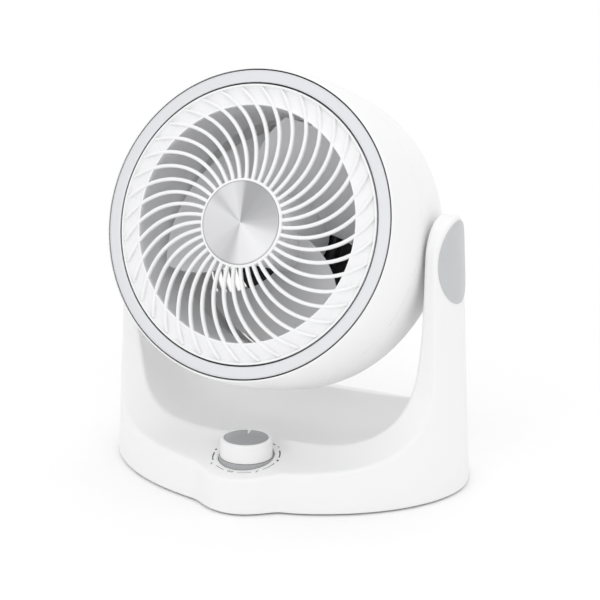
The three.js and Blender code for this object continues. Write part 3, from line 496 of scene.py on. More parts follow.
# %% [markdown]
# Both rims now get the same number of points, one pair for every section of the bowl. On the
# arms a pair lies at the same place of the outline. In front and behind, the pairs share
# out the two rims evenly by length, so that the lines between them cross the panel squarely.

# %% Matching points on the two rims
JOINED_BELOW = 4.0                         # mm below the hollow arcs' centre, where the even pairs begin


def rim_pairs():
    """Outline length and x of the inner rim, then outline length and wall angle of the outer rim."""
    joined = int(np.argmax(np.interp(front_s, along, side_z) > FLANK_Z - JOINED_BELOW))
    inner_s = np.concatenate([front_s, rear_s[-2::-1]])
    inner_y, inner_z = outline_yz(inner_s)
    section_x = np.where(share >= 1.0, np.interp(spots, run, line_x), 0.0)
    section_x = np.concatenate([section_x, section_x[-2::-1]])
    inner_x = np.where(section_x > 0, section_x, bowl_x(inner_y, inner_z))
    inner_x[[0, -1]] = 0.0
    length = running_length(np.stack([inner_x, inner_y, inner_z], -1))
    last = len(inner_s) - 1
    outer_s = inner_s.copy()
    s, run_front = rim_by_length(front_end, inner_s[joined])
    outer_s[:joined + 1] = np.interp(length[:joined + 1] / length[joined] * run_front[-1], run_front, s)
    s, run_rear = rim_by_length(inner_s[last - joined], rear_end)
    part = (length[last - joined:] - length[last - joined]) / (length[-1] - length[last - joined])
    outer_s[last - joined:] = np.interp(part * run_rear[-1], run_rear, s)
    outer_angle = angle_on_wall(*outline_yz(outer_s))
    outer_angle[0], outer_angle[-1] = -np.pi / 2, np.pi / 2
    return inner_s, inner_x, outer_s, outer_angle


inner_s, inner_x, outer_s, outer_angle = rim_pairs()
inner_rim = np.stack([inner_x, *outline_yz(inner_s)], -1)
outer_rim = wall_point(outer_angle, outline_yz(outer_s)[1])
tip_number = len(spots) - 1
print(len(inner_s), "pairs of rim points")

# %% [markdown]
# A corner needs to know which way is square to the rim. The rim's direction comes from its
# neighbours; a quarter turn in the flat layout of the wall, or of the top strip, gives the
# direction to leave in. The wall is laid out as (length round the foot, height), the strip
# as (x, length along the outline).

# %% Directions square to the rims
def direction(points):
    """Unit direction at each point, from the one before to the one after, level with x at the two ends."""
    step = np.empty_like(points)
    step[1:-1] = points[2:] - points[:-2]
    step[0] = step[-1] = 0.0
    step[0, 0], step[-1, 0] = 1.0, -1.0
    return step / np.linalg.norm(step, axis=1, keepdims=True)


wall_flat = np.stack([np.interp(outer_angle, angles, around), outer_rim[:, 2]], -1)
go = direction(wall_flat)
go[-1, 0] = 1.0
into_wall = np.stack([go[:, 1], -go[:, 0]], -1)
top_outer = np.stack([outer_rim[:, 0], outer_s], -1)
top_inner = np.stack([inner_rim[:, 0], inner_s], -1)
go = direction(top_outer)
into_top = np.stack([-go[:, 1], go[:, 0]], -1)
go = direction(top_inner)
back_over_top = np.stack([go[:, 1], -go[:, 0]], -1)
print("the wall is left downwards in front:", into_wall[1].round(2),
      "and inwards on the arm:", into_wall[(BOTTOM_SECTIONS + tip_number) // 2].round(2))

# %% [markdown]
# Now the three skins. The wall's columns start square to the rim and end upright at the foot;
# on an arm they bend like water over a weir, so that the columns of the whole rim find room
# on the narrow arm without crossing. Below the foot line the edge turns in under the base.

# %% Outer wall
OUTER_ROUND = 3.2                          # rounding of the outer rim, mm
FOOT_LINE = 3.0                            # the wall ends this far above the floor, and turns in below it


def on_wall(flat):
    """A point of the flat layout (length round the foot, height) on the leaning wall."""
    return wall_point(np.interp(flat[..., 0], around, angles), flat[..., 1])


def bezier(a, b, c, d, t):
    """Cubic curve from a to d that leaves towards b and arrives from c."""
    return (1 - t) ** 3 * a + 3 * t * (1 - t) ** 2 * b + 3 * t ** 2 * (1 - t) * c + t ** 3 * d


def foot_places():
    """Where each column ends: straight below its rim point until the rim turns up the arm, and from there at
    an even share of the way to the middle of the arm."""
    middle = np.interp(0.0, angles, around)

    def from_end(flat):
        length = running_length(flat)
        to_middle = np.abs(middle - flat[:, 0])
        fair = to_middle[:-1] / (length[-1] - length[:-1])
        climbing = -np.diff(to_middle) / np.diff(length) <= fair
        turn_up = int(np.argmax(climbing))
        share_left = (length[-1] - length[turn_up:]) / (length[-1] - length[turn_up])
        return np.concatenate([to_middle[:turn_up], to_middle[turn_up] * share_left])

    front = middle - from_end(top_of_wall[:tip_number + 1])
    rear = middle + from_end(top_of_wall[:tip_number - 1:-1])[::-1]
    return np.concatenate([front, rear[1:]])


top_of_wall = wall_flat + OUTER_ROUND * into_wall
foot_at = foot_places()
drop = np.hypot(top_of_wall[:, 0] - foot_at, top_of_wall[:, 1] - FOOT_LINE)
first_reach = np.minimum(0.3 * drop, 0.75 * np.abs(foot_at - top_of_wall[:, 0]) + 3.0)[:, None]
t = np.linspace(0.0, 1.0, 27)[:, None, None] ** 1.25
foot_flat = np.stack([foot_at, np.full(foot_at.shape, FOOT_LINE)], -1)
last_reach = np.stack([foot_at, FOOT_LINE + 0.45 * (top_of_wall[:, 1] - FOOT_LINE)], -1)
wall_grid = bezier(top_of_wall, top_of_wall + first_reach * into_wall, last_reach, foot_flat, t)
wall = on_wall(wall_grid)
print("wall", wall.shape[:2], "cells the wrong way round:", int((cell_areas(wall_grid) >= 0).sum()))

# %% Edge under the foot
foot_angle = np.interp(foot_at, around, angles)
UNDERSIDE = 7.0                            # height of the moulding's underside, behind the edge
edge_section = [(FOOT_LINE, 0.0), (2.4, 0.1), (1.9, 0.45), (1.6, 0.95), (1.5, 1.5), (1.5, 2.8), (1.9, 3.0),
                (UNDERSIDE, 3.0)]          # height above the floor, and how far in from the wall
under = np.stack([wall_point(foot_angle, height, inset) for height, inset in edge_section])
under = np.concatenate([under, np.broadcast_to([0.0, 0.0, UNDERSIDE], under[:1].shape)])
print("the foot ends", round(float(under[..., 2].min()), 2), "mm above the floor")

# %% [markdown]
# The top strip is ruled in its flat layout from one rim to the other. Round the knob the
# hollow curve is pressed down to the plane of the sloping panel, so that the ring of printed
# marks lies flat. The knob's axis is upright, though, so its collar stands in a pocket with a
# level floor, deep behind and shallow in front.

# %% Plane of the panel
SEAT_FULL, SEAT_NONE = 29.0, 38.0          # radii round the knob: flat up to one, untouched from the other
FRONT_ONLY = -40.0                         # y: what lies behind this is no part of the panel
plane_y = -FLANK_Y + FLANK_RADIUS * math.sin(FRONT_SLOPE)
plane_z = FLANK_Z - FLANK_RADIUS * math.cos(FRONT_SLOPE)


def press_seat(points):
    """Height minus what stands above the panel's plane times a smooth step of the distance from the knob."""
    plane = plane_z + (points[..., 1] - plane_y) * math.tan(FRONT_SLOPE)
    away = np.hypot(points[..., 0], (points[..., 1] - NOSE_Y) / math.cos(FRONT_SLOPE))
    part = smooth((SEAT_NONE - away) / (SEAT_NONE - SEAT_FULL))
    out = points.copy()
    out[..., 2] -= part * np.maximum(points[..., 2] - plane, 0.0) * (points[..., 1] < FRONT_ONLY)
    return out


def on_top(flat):
    """A point of the flat layout (x, length along the outline) on the top of the base."""
    return press_seat(np.stack([flat[..., 0], *outline_yz(flat[..., 1])], -1))


print("the panel's plane passes y", round(plane_y, 1), "z", round(plane_z, 1), "mm")

# %% [markdown]
# The pocket has to be round, but the strip's cells run in rows and columns. So a block of
# cells under the knob is bent: its square rings of cells become round ones. The first ring
# takes the pocket's edge, the next ones go down its wall, and the rest fill the floor. The
# cells outside the block give way smoothly over a few rows.

# %% Top strip with the knob's pocket
POCKET_RADIUS, POCKET_LEDGE = 22.3, 0.45   # the pocket, and the width of its rounded edge
POCKET_FRONT = 0.6                         # depth of the pocket at its front, mm
POCKET_FLOOR = plane_z + (KNOB_Y - POCKET_RADIUS - plane_y) * math.tan(FRONT_SLOPE) - POCKET_FRONT
HALF_ROWS, HALF_COLUMNS = 15, 10           # half size of the block, in cells
GIVE_WAY, GIVE_STEP = 9, 0.8               # columns that give way beside the block, and how far apart in mm
STRIP_ROWS = 40
INNER_ROUND, FRONT_ROUND = 3.4, 1.5        # rounding of the inner rim, and the least of it behind the knob


def square_to_round(row, column, rows, columns):
    """The angle of a cell on its square ring: 45 degrees times the share along the side it lies on."""
    u, v = row / np.maximum(rows, 1), column / np.maximum(columns, 1)
    beside = 45.0 * u
    across = np.sign(row) * (90.0 - 45.0 * v)
    return np.radians(np.where(np.abs(u) >= v - 1e-9, across, beside))


near_knob = np.clip(1.6 - np.abs(inner_rim[:, 0]) / 30.0, 0.0, 1.0) * (inner_rim[:, 1] < 0)
inner_round = INNER_ROUND - (INNER_ROUND - FRONT_ROUND) * near_knob
strip_out = top_outer + OUTER_ROUND * into_top
strip_in = top_inner + inner_round[:, None] * back_over_top
t = np.linspace(0.0, 1.0, STRIP_ROWS + 1)[:, None, None]
strip_grid = strip_out * (1 - t) + strip_in * t
middle_row = int(np.argmin(np.abs(np.interp(strip_grid[:, 0, 1], along, side_y) - NOSE_Y)))
row = np.arange(STRIP_ROWS + 1)[:, None] - middle_row
column = np.arange(strip_grid.shape[1])[None]
rows_left = np.where(row < 0, middle_row, STRIP_ROWS - middle_row) - HALF_ROWS
inward = np.minimum(HALF_ROWS - np.abs(row), HALF_COLUMNS - column)    # rings in from the block's edge
angle = square_to_round(row, column, HALF_ROWS - inward, HALF_COLUMNS - inward)
edge_radius = POCKET_RADIUS + POCKET_LEDGE
ring_of = np.interp(inward, [-GIVE_WAY, 0, 1, 2, 3, HALF_COLUMNS],
                    [edge_radius + GIVE_STEP * GIVE_WAY, edge_radius, POCKET_RADIUS + 0.1, POCKET_RADIUS,
                     POCKET_RADIUS - 0.05, 0.0])
x, y = strip_grid[..., 0], np.interp(strip_grid[..., 1], along, side_y)
outside = np.maximum((np.abs(row) - HALF_ROWS) / rows_left, (column - HALF_COLUMNS) / GIVE_WAY)
hold = smooth(1 - outside) * (y < FRONT_ONLY)
x = x * (1 - hold) + ring_of * np.cos(angle) * hold
y = y * (1 - hold) + (NOSE_Y + ring_of * np.sin(angle)) * hold
front_half = along < TOP
length = np.interp(y, side_y[front_half], along[front_half])
strip_grid = np.stack([x, np.where(hold > 0, length, strip_grid[..., 1])], -1)
strip = on_top(strip_grid)
sunk = np.interp(inward, [0, 1, 2, 3], [0.0, 0.15, 0.6, 30.0])
strip[..., 2] = np.where(hold >= 1.0, np.maximum(strip[..., 2] - sunk, POCKET_FLOOR), strip[..., 2])
print("strip", strip.shape[:2], "knob row", middle_row, "pocket floor at", round(POCKET_FLOOR, 2), "mm,",
      "cells the wrong way round:", int((cell_areas(strip_grid) < -1e-6).sum()))

# %% [markdown]
# The bowl's rim point moves inwards by the rounding, square to the rim and along the bowl.
# The bowl's own slope there is the gradient of its formula. A few Newton steps bring
# the moved point back onto the bowl exactly.

# %% Bowl
def bowl_slope(points):
    """How far the formula is from 1 at each point, and its gradient."""
    x, y, z = points[..., 0], points[..., 1], points[..., 2] - TILT_Z
    far = np.maximum(np.hypot(y, z), 1e-6)
    off = (np.abs(x) / BOWL_HALF_X) ** BOWL_POWER + (far / BOWL_RADIUS) ** BOWL_POWER - 1
    gx = BOWL_POWER / BOWL_HALF_X * (np.abs(x) / BOWL_HALF_X) ** (BOWL_POWER - 1)
    gr = BOWL_POWER / BOWL_RADIUS * (far / BOWL_RADIUS) ** (BOWL_POWER - 1)
    return off, np.stack([gx, gr * y / far, gr * z / far], -1)


def into_bowl(points, distance):
    """Moves rim points into the bowl, square to the rim, and back onto the bowl."""
    go = direction(points)
    _, gradient = bowl_slope(points)
    sideways = np.cross(gradient, go)
    sideways /= np.linalg.norm(sideways, axis=1, keepdims=True)
    sideways *= np.sign(sideways[0, 1])   # the front rim moves rearwards, and the rest keeps that side
    moved = points + distance * sideways
    for _ in range(8):
        off, gradient = bowl_slope(moved)
        moved -= off[:, None] * gradient / (gradient ** 2).sum(-1, keepdims=True)
    moved[[0, -1], 0] = 0.0
    return moved


bowl_edge = into_bowl(inner_rim, inner_round[:, None])
front_edge, rear_edge = bowl_edge[:tip_number + 1], bowl_edge[:tip_number - 1:-1]
t = np.linspace(0.0, 1.0, 41)[:, None]
bowl_y = front_edge[:, 1] * (1 - t) + rear_edge[:, 1] * t
edge_z = front_edge[:, 2] * (1 - t) + rear_edge[:, 2] * t
edge_y = np.abs(front_edge[:, 1]) * (1 - t) + np.abs(rear_edge[:, 1]) * t
edge_away = np.hypot(edge_y, edge_z - TILT_Z)
hang, edge_hang = (np.sqrt(np.maximum(edge_away ** 2 - y ** 2, 0)) for y in (bowl_y, edge_y))
bowl_z = edge_z - share * (hang - edge_hang)
bowl_side = np.where(share >= 1.0, front_edge[:, 0] + 0 * bowl_y, bowl_x(bowl_y, bowl_z))
bowl = np.stack([bowl_side, bowl_y, bowl_z], -1)
bowl[:, 0, 0] = 0.0
bowl[0], bowl[-1] = front_edge, rear_edge
print("bowl", bowl.shape[:2], "lowest point", round(float(bowl[..., 2].min()), 2), "mm")

# %% [markdown]
# The corner between two skins is a short curve that leaves one skin, heads for the old sharp
# rim and lands on the other. One half of the base is now complete; the other half is the
# same with x turned round, and the shared points on the middle line are merged. Last, the
# front is turned a few degrees round the middle, which brings the nose to its place.

# %% Rounded rims and the finished base
def corner(start, rim, end, steps=6):
    """Quadratic curve (1-t)^2 start + 2t(1-t) rim + t^2 end for every pair of points."""
    t = np.linspace(0.0, 1.0, steps + 1)[:, None, None]
    return (1 - t) ** 2 * start + 2 * t * (1 - t) * rim + t ** 2 * end


NOSE_TURN = math.atan2(KNOB_X, -KNOB_Y)
RADIUS_KEPT, TURN_FULL, TURN_NONE = 16.0, 26.0, 56.0       # degrees from straight ahead


def turn_nose(points):
    """Adds the nose's angle, in full up to TURN_FULL from straight ahead and nothing beyond TURN_NONE.

    A point keeps its radius up to RADIUS_KEPT, and from TURN_FULL on its share of the oval's radius."""
    angle = np.arctan2(points[..., 1], points[..., 0])
    off = np.degrees(np.abs(angle + np.pi / 2))
    part = smooth((TURN_NONE - off) / (TURN_NONE - TURN_FULL)) * (points[..., 1] < 0)
    new_angle = angle + NOSE_TURN * part
    keep = smooth((off - RADIUS_KEPT) / (TURN_FULL - RADIUS_KEPT))
    stretch = oval_radius(new_angle, 0.0) / oval_radius(angle, 0.0)
    radius = np.hypot(points[..., 0], points[..., 1]) * stretch ** keep
    return np.stack([radius * np.cos(new_angle), radius * np.sin(new_angle), points[..., 2]], -1)


outer_corner = corner(wall[0], outer_rim, strip[0])
inner_corner = corner(strip[-1], press_seat(inner_rim), press_seat(bowl_edge))
half = [wall[::-1], under, outer_corner, strip, inner_corner, press_seat(bowl)]
to_model = np.array([0.0, pivot[1], 0.0])   # the shapes above are measured from the tilt axis
base_skin = [turn_nose(grid * [side, 1, 1]) + to_model for grid in half for side in (1, -1)]
make_piece("base_and_arms", base_skin, "base", ["yoke_shell"], arm_abs, sharp=38.0)

# %% [markdown]
# ## The head's shells
# The head is a drum of two white shells that meet on a fine parting line. Both are turned
# shapes, so one cross-section each is enough. The front shell ends in a rounded lip and
# steps down to a shelf that carries the silver bezel; the rear shell tapers to the air inlet.

# %% Front and rear shell
front_section = [(120.4, 0.0), (121.58, 0.92), (123.3, 10), (124.9, 25), (125.58, 42), (125.58, 51.3),
                 (123.1, 51.3), (122.4, 25), (120.2, 7), (109.0, 7), (109.0, 4.4), (120.4, 4.4)]
rear_section = [(125.6, 51.9), (125.6, 75), (125.0, 100), (122.1, 110), (112.6, 140), (109.5, 143.5),
                (104, 145), (104, 142.5), (109.8, 138.5), (119.6, 109), (122.4, 100), (123.1, 75),
                (123.1, 51.9)]
front_skin = turned(front_section, [0.5, 0.8, 5, 8, 8, 0.35, 0.3, 6, 1, 0.3, 0.3, 0.3], 168)
rear_skin = turned(rear_section, [0.35, 8, 6, 6, 3, 2.4, 0.8, 0.8, 2, 6, 6, 8, 0.3], 168)
make_piece("head_front_shell", [front_skin], "head", ["front_shell"], shell_abs)
make_piece("head_rear_shell", [rear_skin], "head", ["rear_shell"], shell_abs)

# %% [markdown]
# The bezel is a flat ring with a satin silver paint, set into the lip. A thin dark line
# follows each of its edges: the narrow gaps there are in shade, and a black ring under the
# bezel, seen through the gaps, paints that shade.
# Silver paint is flakes of aluminium in lacquer, so the paint gets a little metal, a fine
# sparkle of flakes in its roughness, and a clear coat on top.

# %% Bezel and the black ring of painted gap shade
def painted_silver(name, colour, roughness=0.36, metallic=0.45, flake=0.25):
    """Silver lacquer: part metal, flakes of a size in mm that change the roughness a little, a clear coat."""
    material, tree, shader, where = fresh(name, Base_Color=linear(colour), Metallic=metallic,
                                          Coat_Weight=0.3, Coat_Roughness=0.15)
    flakes = add(tree, "ShaderNodeTexVoronoi", Vector=where, Scale=MM / flake)
    grainy(tree, shader, flakes.outputs["Distance"], roughness - 0.05, roughness + 0.07, 0.006)
    return material


bezel_paint = painted_silver("silver_lacquered_bezel", "#d9dadd")
# painted shade: black rubber for the ring that darkens the gaps beside the bezel; the cord bushing uses the
# same black rubber
black_rubber_and_gap_shade = moulded("black_rubber_and_painted_gap_shade", "#1b1b1c", 0.7, ior=1.52, grain=0.3, depth=0.01)
bezel_section = [(109.9, 0.3), (111.0, 0.0), (118.3, 0.0), (119.3, 0.3), (119.3, 2.0), (109.9, 2.0)]
bezel_skin = turned(bezel_section, [0.3, 1, 1, 0.3, 0.2, 0.2], 168)
make_piece("silver_bezel", [bezel_skin], "head", ["bezel_ring"], bezel_paint)
# the ring of painted gap shade, lying under the bezel
gap_shade_section = [(109.1, 2.3), (120.1, 2.3), (120.1, 4.1), (109.1, 4.1)]
gap_shade_skin = turned(gap_shade_section, 0.2, 120)
make_piece("bezel_gap_shade_ring", [gap_shade_skin], "head", ["bezel_gasket"], black_rubber_and_gap_shade)

# %% [markdown]
# ## The front grille
# Thirty-nine ribs sweep out of the hub in one curve, cross the throat and die away as low
# ridges on the white ring. Each rib is a rounded cross-section carried along its path: the
# path turns by an angle that grows with the distance from the hub, the width tapers, and the
# height follows the shallow dome of the grille and then sinks into the ring.

# %% Rib path
RIBS, RIB_WIDE, RIB_DEEP = 39, 3.0, 4.0
RIB_ROOT, HUB, THROAT, RIB_END = 32.6, 34.4, 91.9, 106.3   # radii, from inside the hub to the ridge's end
DOME_HIGH, DOME_RADIUS = 8.0, 100.0        # the dome's height in the middle, and where it reaches the face
SWEEP, SWEEP_END, SWEEP_POWER = math.radians(22.7), 99.5, 1.65
SWELL_FROM, SWELL = 84.0, 0.6              # the ribs rise a little more before they cross the throat's edge
RIDGE_THINNER, RIDGE_END = 0.45, 0.1       # share of the width that a ridge loses, and its height at its end


def dome(radius):
    """How far the grille stands in front of the face, falling with the square of the radius."""
    return DOME_HIGH * (1 - (radius / DOME_RADIUS) ** 2)


def rib_turn(radius):
    """Share of the way from the hub to the end of the sweep, to a power, times the whole sweep."""
    return SWEEP * (np.maximum(radius - HUB, 0.0) / (SWEEP_END - HUB)) ** SWEEP_POWER


def rib_grid(start):
    """Superellipse cross-sections carried along the path, square to it, closed to a point at both ends."""
    r = np.concatenate([np.linspace(RIB_ROOT, THROAT, 15), np.linspace(THROAT, RIB_END, 9)[1:]])
    a = start + rib_turn(r)
    turn_rate = np.gradient(a, r) * r
    square = np.stack([-turn_rate, np.ones_like(r)], -1) / np.hypot(turn_rate, 1)[:, None]
    fade = np.clip((r - THROAT) / (RIB_END - THROAT), 0, 1)
    wide = RIB_WIDE * (1 - RIDGE_THINNER * fade ** 2)
    lift = np.clip((r - SWELL_FROM) / (THROAT - SWELL_FROM), 0, 1)
    ridge = (dome(THROAT) + SWELL) * (1 - fade ** 2) + RIDGE_END * fade ** 2
    top = np.where(r < THROAT, dome(r) + SWELL * lift, ridge)
    t = np.linspace(0, 2 * np.pi, 15)[None]
    across = wide[:, None] / 2 * squarer(np.cos(t), 0.7)
    height = top[:, None] - RIB_DEEP / 2 + RIB_DEEP / 2 * squarer(np.sin(t), 0.8)
    outward = np.stack([np.cos(a), np.sin(a)], -1)
    sideways = square[:, :1] * outward + square[:, 1:] * np.stack([-np.sin(a), np.cos(a)], -1)
    flat = r[:, None, None] * outward[:, None] + across[..., None] * sideways[:, None]
    in_plane = flat[..., :1] * right + flat[..., 1:] * face_up
    return closed_tube(ring_centre + in_plane + height[..., None] * face_out)


ribs = [rib_grid(2 * np.pi * i / RIBS) for i in range(RIBS)]
print(RIBS, "ribs of", ribs[0].shape[0] * (ribs[0].shape[1] - 1), "faces")

# %% Hub, ring and ribs together
hub_section = [(0.0, -7.0), (32.5, -7.0), (32.5, -7.9), (34.2, -7.6), (34.6, -6.6), (34.4, -3.05),
               (0.0, -3.05)]
hub_skin = turned(hub_section, [0, 0.1, 0.3, 0.5, 0.6, 0.4, 0], 156)
ring_section = [(91.9, -1.0), (93.0, -1.3), (94.6, 0.2), (99.0, 1.9), (103.2, 2.8), (105.4, 3.0),
                (106.7, 1.6), (107.2, -0.2), (108.6, 0.0), (108.6, 9.0), (106.2, 9.0), (106.2, 5.0),
                (91.9, 4.0)]
ring_skin = turned(ring_section, [0.4, 0.5, 1, 2, 2, 0.8, 0.5, 0.4, 0.4, 0.3, 0.3, 0.3, 0.5], 168)
make_piece("front_grille_ribs", [hub_skin, ring_skin] + ribs, "head", ["front_grille"],
           grille_abs, sharp=50.0)

# %% [markdown]
# The disc in the hub is spun aluminium: a blank turned on a lathe with a fine tool, which
# leaves rings far too fine to see but lets the light fan out in bright and dark sectors.
# The real sheen comes from the scratches' direction. Here the metal is anisotropic along the
# rings, and its colour also carries a painted sheen: bright and dark sectors set by the angle
# round the disc in object coordinates.

# %% Spun disc
RING_APART = 0.5                       # mm between turning rings, coarser than real ones so that they show


def spun_aluminium(name, centre, axis_up, axis_right):
    """Aluminium whose colour is a painted sheen of bright and dark sectors round the centre, crossed by fine
    turning rings.
    """
    material, tree, shader, where = fresh(name, Metallic=1.0, Anisotropic=0.7)
    local = add(tree, "ShaderNodeVectorMath", {"operation": "SUBTRACT"}, i0=where, i1=tuple(centre / MM))
    upward, sideways = (add(tree, "ShaderNodeVectorMath", {"operation": "DOT_PRODUCT"},
                            i0=local.outputs[0], i1=tuple(axis)) for axis in (axis_up, axis_right))
    angle = add(tree, "ShaderNodeMath", {"operation": "ARCTAN2"},
                i0=upward.outputs["Value"], i1=sideways.outputs["Value"])
    share = add(tree, "ShaderNodeMapRange", Value=angle.outputs[0], i1=-math.pi, i2=math.pi)
    painted_sheen_ring = add(tree, "ShaderNodeValToRGB", Fac=share.outputs[0])
    ramp = painted_sheen_ring.color_ramp
    ramp.interpolation = "EASE"
    # painted sheen: the colour of each bright or dark sector, by its angle in degrees round the disc
    painted_sheen_tones = [(-180, "#d5d5d7"), (-150, "#d2d2d4"), (-125, "#c8c8ca"), (-104, "#bdbdbf"), (-80, "#dddddf"),
             (-45, "#e3e3e5"), (-20, "#dcdcde"), (6, "#c0c0c2"), (22, "#b4b4b6"), (45, "#ababad"),
             (70, "#a3a3a5"), (86, "#a2a2a4"), (97, "#cbcbcd"), (112, "#d6d6d8"), (128, "#d2d2d4"),
             (141, "#c0c0c2"), (158, "#d6d6d8")]
    for end in (0, 1):
        ramp.elements[end].position = end
        ramp.elements[end].color = linear(painted_sheen_tones[0][1])
    for degrees, tone in painted_sheen_tones[1:]:
        ramp.elements.new((degrees + 180.0) / 360.0).color = linear(tone)
    tree.links.new(painted_sheen_ring.outputs[0], shader.inputs["Base Color"])
    radius = add(tree, "ShaderNodeVectorMath", {"operation": "LENGTH"}, i0=local.outputs[0])
    phase = add(tree, "ShaderNodeMath", {"operation": "MULTIPLY"}, i0=radius.outputs["Value"],
                i1=2 * math.pi * MM / RING_APART)
    rings = add(tree, "ShaderNodeMath", {"operation": "SINE"}, i0=phase.outputs[0])
    grainy(tree, shader, rings.outputs[0], 0.36, 0.44, 0.004, strength=0.5, lowest=-1.0)
    return material


disc_metal = spun_aluminium("spun_aluminium_disc_painted_sheen", ring_centre, face_up, right)
disc_section = [(0.0, -8.3), (31.5, -8.3), (32.2, -7.9), (32.2, -7.2), (0.0, -7.2)]
disc_skin = turned(disc_section, [0, 0.4, 0.3, 0.2, 0], 120)
make_piece("hub_disc", [disc_skin], "head", ["hub_badge"], disc_metal)

# %% [markdown]
# ## Inside the drum
# Behind the ribs lies the throat of grey plastic, then the three long blades of the impeller.
# A blade is a function of two numbers: how far out, and how far along from its rear edge to
# its front edge. It winds round the hub like a wide screw thread, for almost a third of a
# turn. The impeller is moulded in one, so blades and hub share a piece. It rides on the
# rotor, which the model's own joint spins.

# %% Throat, blades and hub
throat_abs = moulded("grey_abs_throat", "#eeeeef", 0.5)
impeller_pp = moulded("grey_pp_impeller", "#f0f0f1", 0.4, ior=1.49, blotch=0.05)
throat_section = [(91.9, 3.3), (93.9, 3.3), (93.9, 9.3), (119.8, 9.3), (119.8, 11.3), (93.9, 11.3),
                  (93.9, 67), (91.9, 67)]
make_piece("air_throat", [turned(throat_section, 0.3, 144)], "head", ["air_duct"], throat_abs)
BLADES, BLADE_TIP, BLADE_ROOT, BLADE_THICK = 3, 88.5, 28.8, 1.8
BLADE_START, BLADE_SWEEP, BLADE_SPAN = (math.radians(v) for v in (63.5, -32.5, 109.0))
BLADE_FRONT, BLADE_REAR, BLADE_BOW = 31.0, 93.0, 7.0


def blade_grid(start):
    """The radius grows outwards. The angle falls outwards and grows to the front edge. The depth falls to the
    front edge, plus a bow in the middle. The back is the same sheet one thickness deeper."""
    out = np.linspace(0, 1, 21)[:, None]
    fore = np.linspace(0, 1, 49)[None]
    radius = BLADE_ROOT + (BLADE_TIP - BLADE_ROOT) * out
    angle = start + BLADE_START + BLADE_SWEEP * out ** 1.1 + BLADE_SPAN * (fore - 0.5)
    depth = BLADE_FRONT + (BLADE_REAR - BLADE_FRONT) * (1 - fore) + BLADE_BOW * np.sin(np.pi * fore)
    front = head_point(radius, angle, depth)
    back = head_point(radius, angle, depth + BLADE_THICK)
    loop = np.concatenate([front, back[:, ::-1], front[:, :1]], axis=1)
    return [loop, np.stack([back[0], front[0]]), np.stack([back[-1], front[-1]])]


cup_of_hub = [(4.3, 14), (26, 14), (30, 18), (30, 96), (28, 96), (28, 19), (25, 16), (8.3, 16), (8.3, 90),
              (4.3, 90)]
impeller_skin = [turned(cup_of_hub, [0.3, 2.5, 2.5, 0.4, 0.3, 1, 1, 0.5, 0.3, 0.3], 96)]
for i in range(BLADES):
    impeller_skin += blade_grid(2 * np.pi * i / BLADES)
make_piece("impeller_blades", impeller_skin, "rotor", ["impeller"], impeller_pp, sharp=40.0)

# %% [markdown]
# The motor can is deep-drawn steel with a black enamel. Its wide front flange shields the
# winding, and through the gaps between the blades it is the darkest thing to be seen. The
# rear grille is plain: a rim, a tie ring and twenty straight spokes that run slightly
# outwards to the plate on which the motor is screwed. Six finer rings between them keep
# fingers out, and leave small windows through which daylight shows from the front.

# %% Motor can and rear grille
def enamelled_steel(name, colour, roughness=0.38, peel=0.9):
    """Black enamel: a smooth paint with the faint orange peel of a spray gun, a size in mm."""
    material, tree, shader, where = fresh(name, Base_Color=linear(colour), IOR=1.5)
    skin = add(tree, "ShaderNodeTexNoise", Vector=where, Scale=MM / peel / 2, Detail=2.0)
    grainy(tree, shader, skin.outputs["Fac"], roughness - 0.06, roughness + 0.06, 0.03)
    return material


motor_enamel = enamelled_steel("black_enamelled_motor_steel", "#1d1d1e")
motor_section = [(0, 146.7), (34, 146.7), (34, 102), (9.3, 102), (9.3, 100), (36, 100), (36, 110), (64, 110),
                 (64, 112), (36, 112), (36, 148.7), (0, 148.7)]
motor_skin = turned(motor_section, [0, 1, 3, 0.3, 0.3, 4, 1, 0.8, 0.8, 0.5, 1, 0], 96)
make_piece("motor_can", [motor_skin], "head", ["motor_housing"], motor_enamel)
SPOKES, SPOKE_WIDE, SPOKE_DEEP, REAR_OPEN, REAR_PLATE = 20, 2.4, 3.0, 104.0, 40.0
RIM_BAND, TIE_BAND = (100.5, 103.7), (70.8, 73.2)          # inner and outer radius
WIRE_WIDE, WIRE_RADII = 1.8, (47.5, 55.5, 63.5, 80.5, 88.0, 95.0)
REAR_BEHIND, PLATE_FURTHER = 146.0, 3.0    # depth of the inner side at the opening, and the plate's extra


def rear_depth(radius):
    """Depth of the rear grille's inner side: an even slope from the opening back to the plate."""
    return REAR_BEHIND + PLATE_FURTHER * (REAR_OPEN - radius) / (REAR_OPEN - REAR_PLATE)


def rear_band(inner, outer):
    """A flat band of the rear grille between two radii, with rounded edges."""
    near, far = rear_depth(inner), rear_depth(outer)
    section = [(inner, near), (outer, far), (outer, far + SPOKE_DEEP), (inner, near + SPOKE_DEEP)]
    return turned(section, 0.5, 144)


def spoke_grid(angle):
    """A superellipse cross-section carried straight out from the plate to the rim."""
    r = np.linspace(REAR_PLATE - 1.5, REAR_OPEN - 2.0, 5)[:, None]
    t = np.linspace(0, 2 * np.pi, 13)[None]
    across = SPOKE_WIDE / 2 * squarer(np.cos(t), 0.6)
    behind = rear_depth(r) + SPOKE_DEEP / 2 + SPOKE_DEEP / 2 * squarer(np.sin(t), 0.6)
    return closed_tube(head_point(np.hypot(r, across), angle + np.arctan2(across, r), behind))


near, far = rear_depth(REAR_PLATE), rear_depth(REAR_PLATE) + SPOKE_DEEP
plate_section = [(0, near), (REAR_PLATE, near), (REAR_PLATE, far), (0, far)]
rear_grids = [rear_band(*RIM_BAND), rear_band(*TIE_BAND), turned(plate_section, [0, 0.4, 0.8, 0], 96)]
rear_grids += [spoke_grid(2 * np.pi * i / SPOKES) for i in range(SPOKES)]
rear_grids += [rear_band(r - WIRE_WIDE / 2, r + WIRE_WIDE / 2) for r in WIRE_RADII]
make_piece("rear_grille_spokes", rear_grids, "head", ["rear_grille"], shell_abs, sharp=50.0)
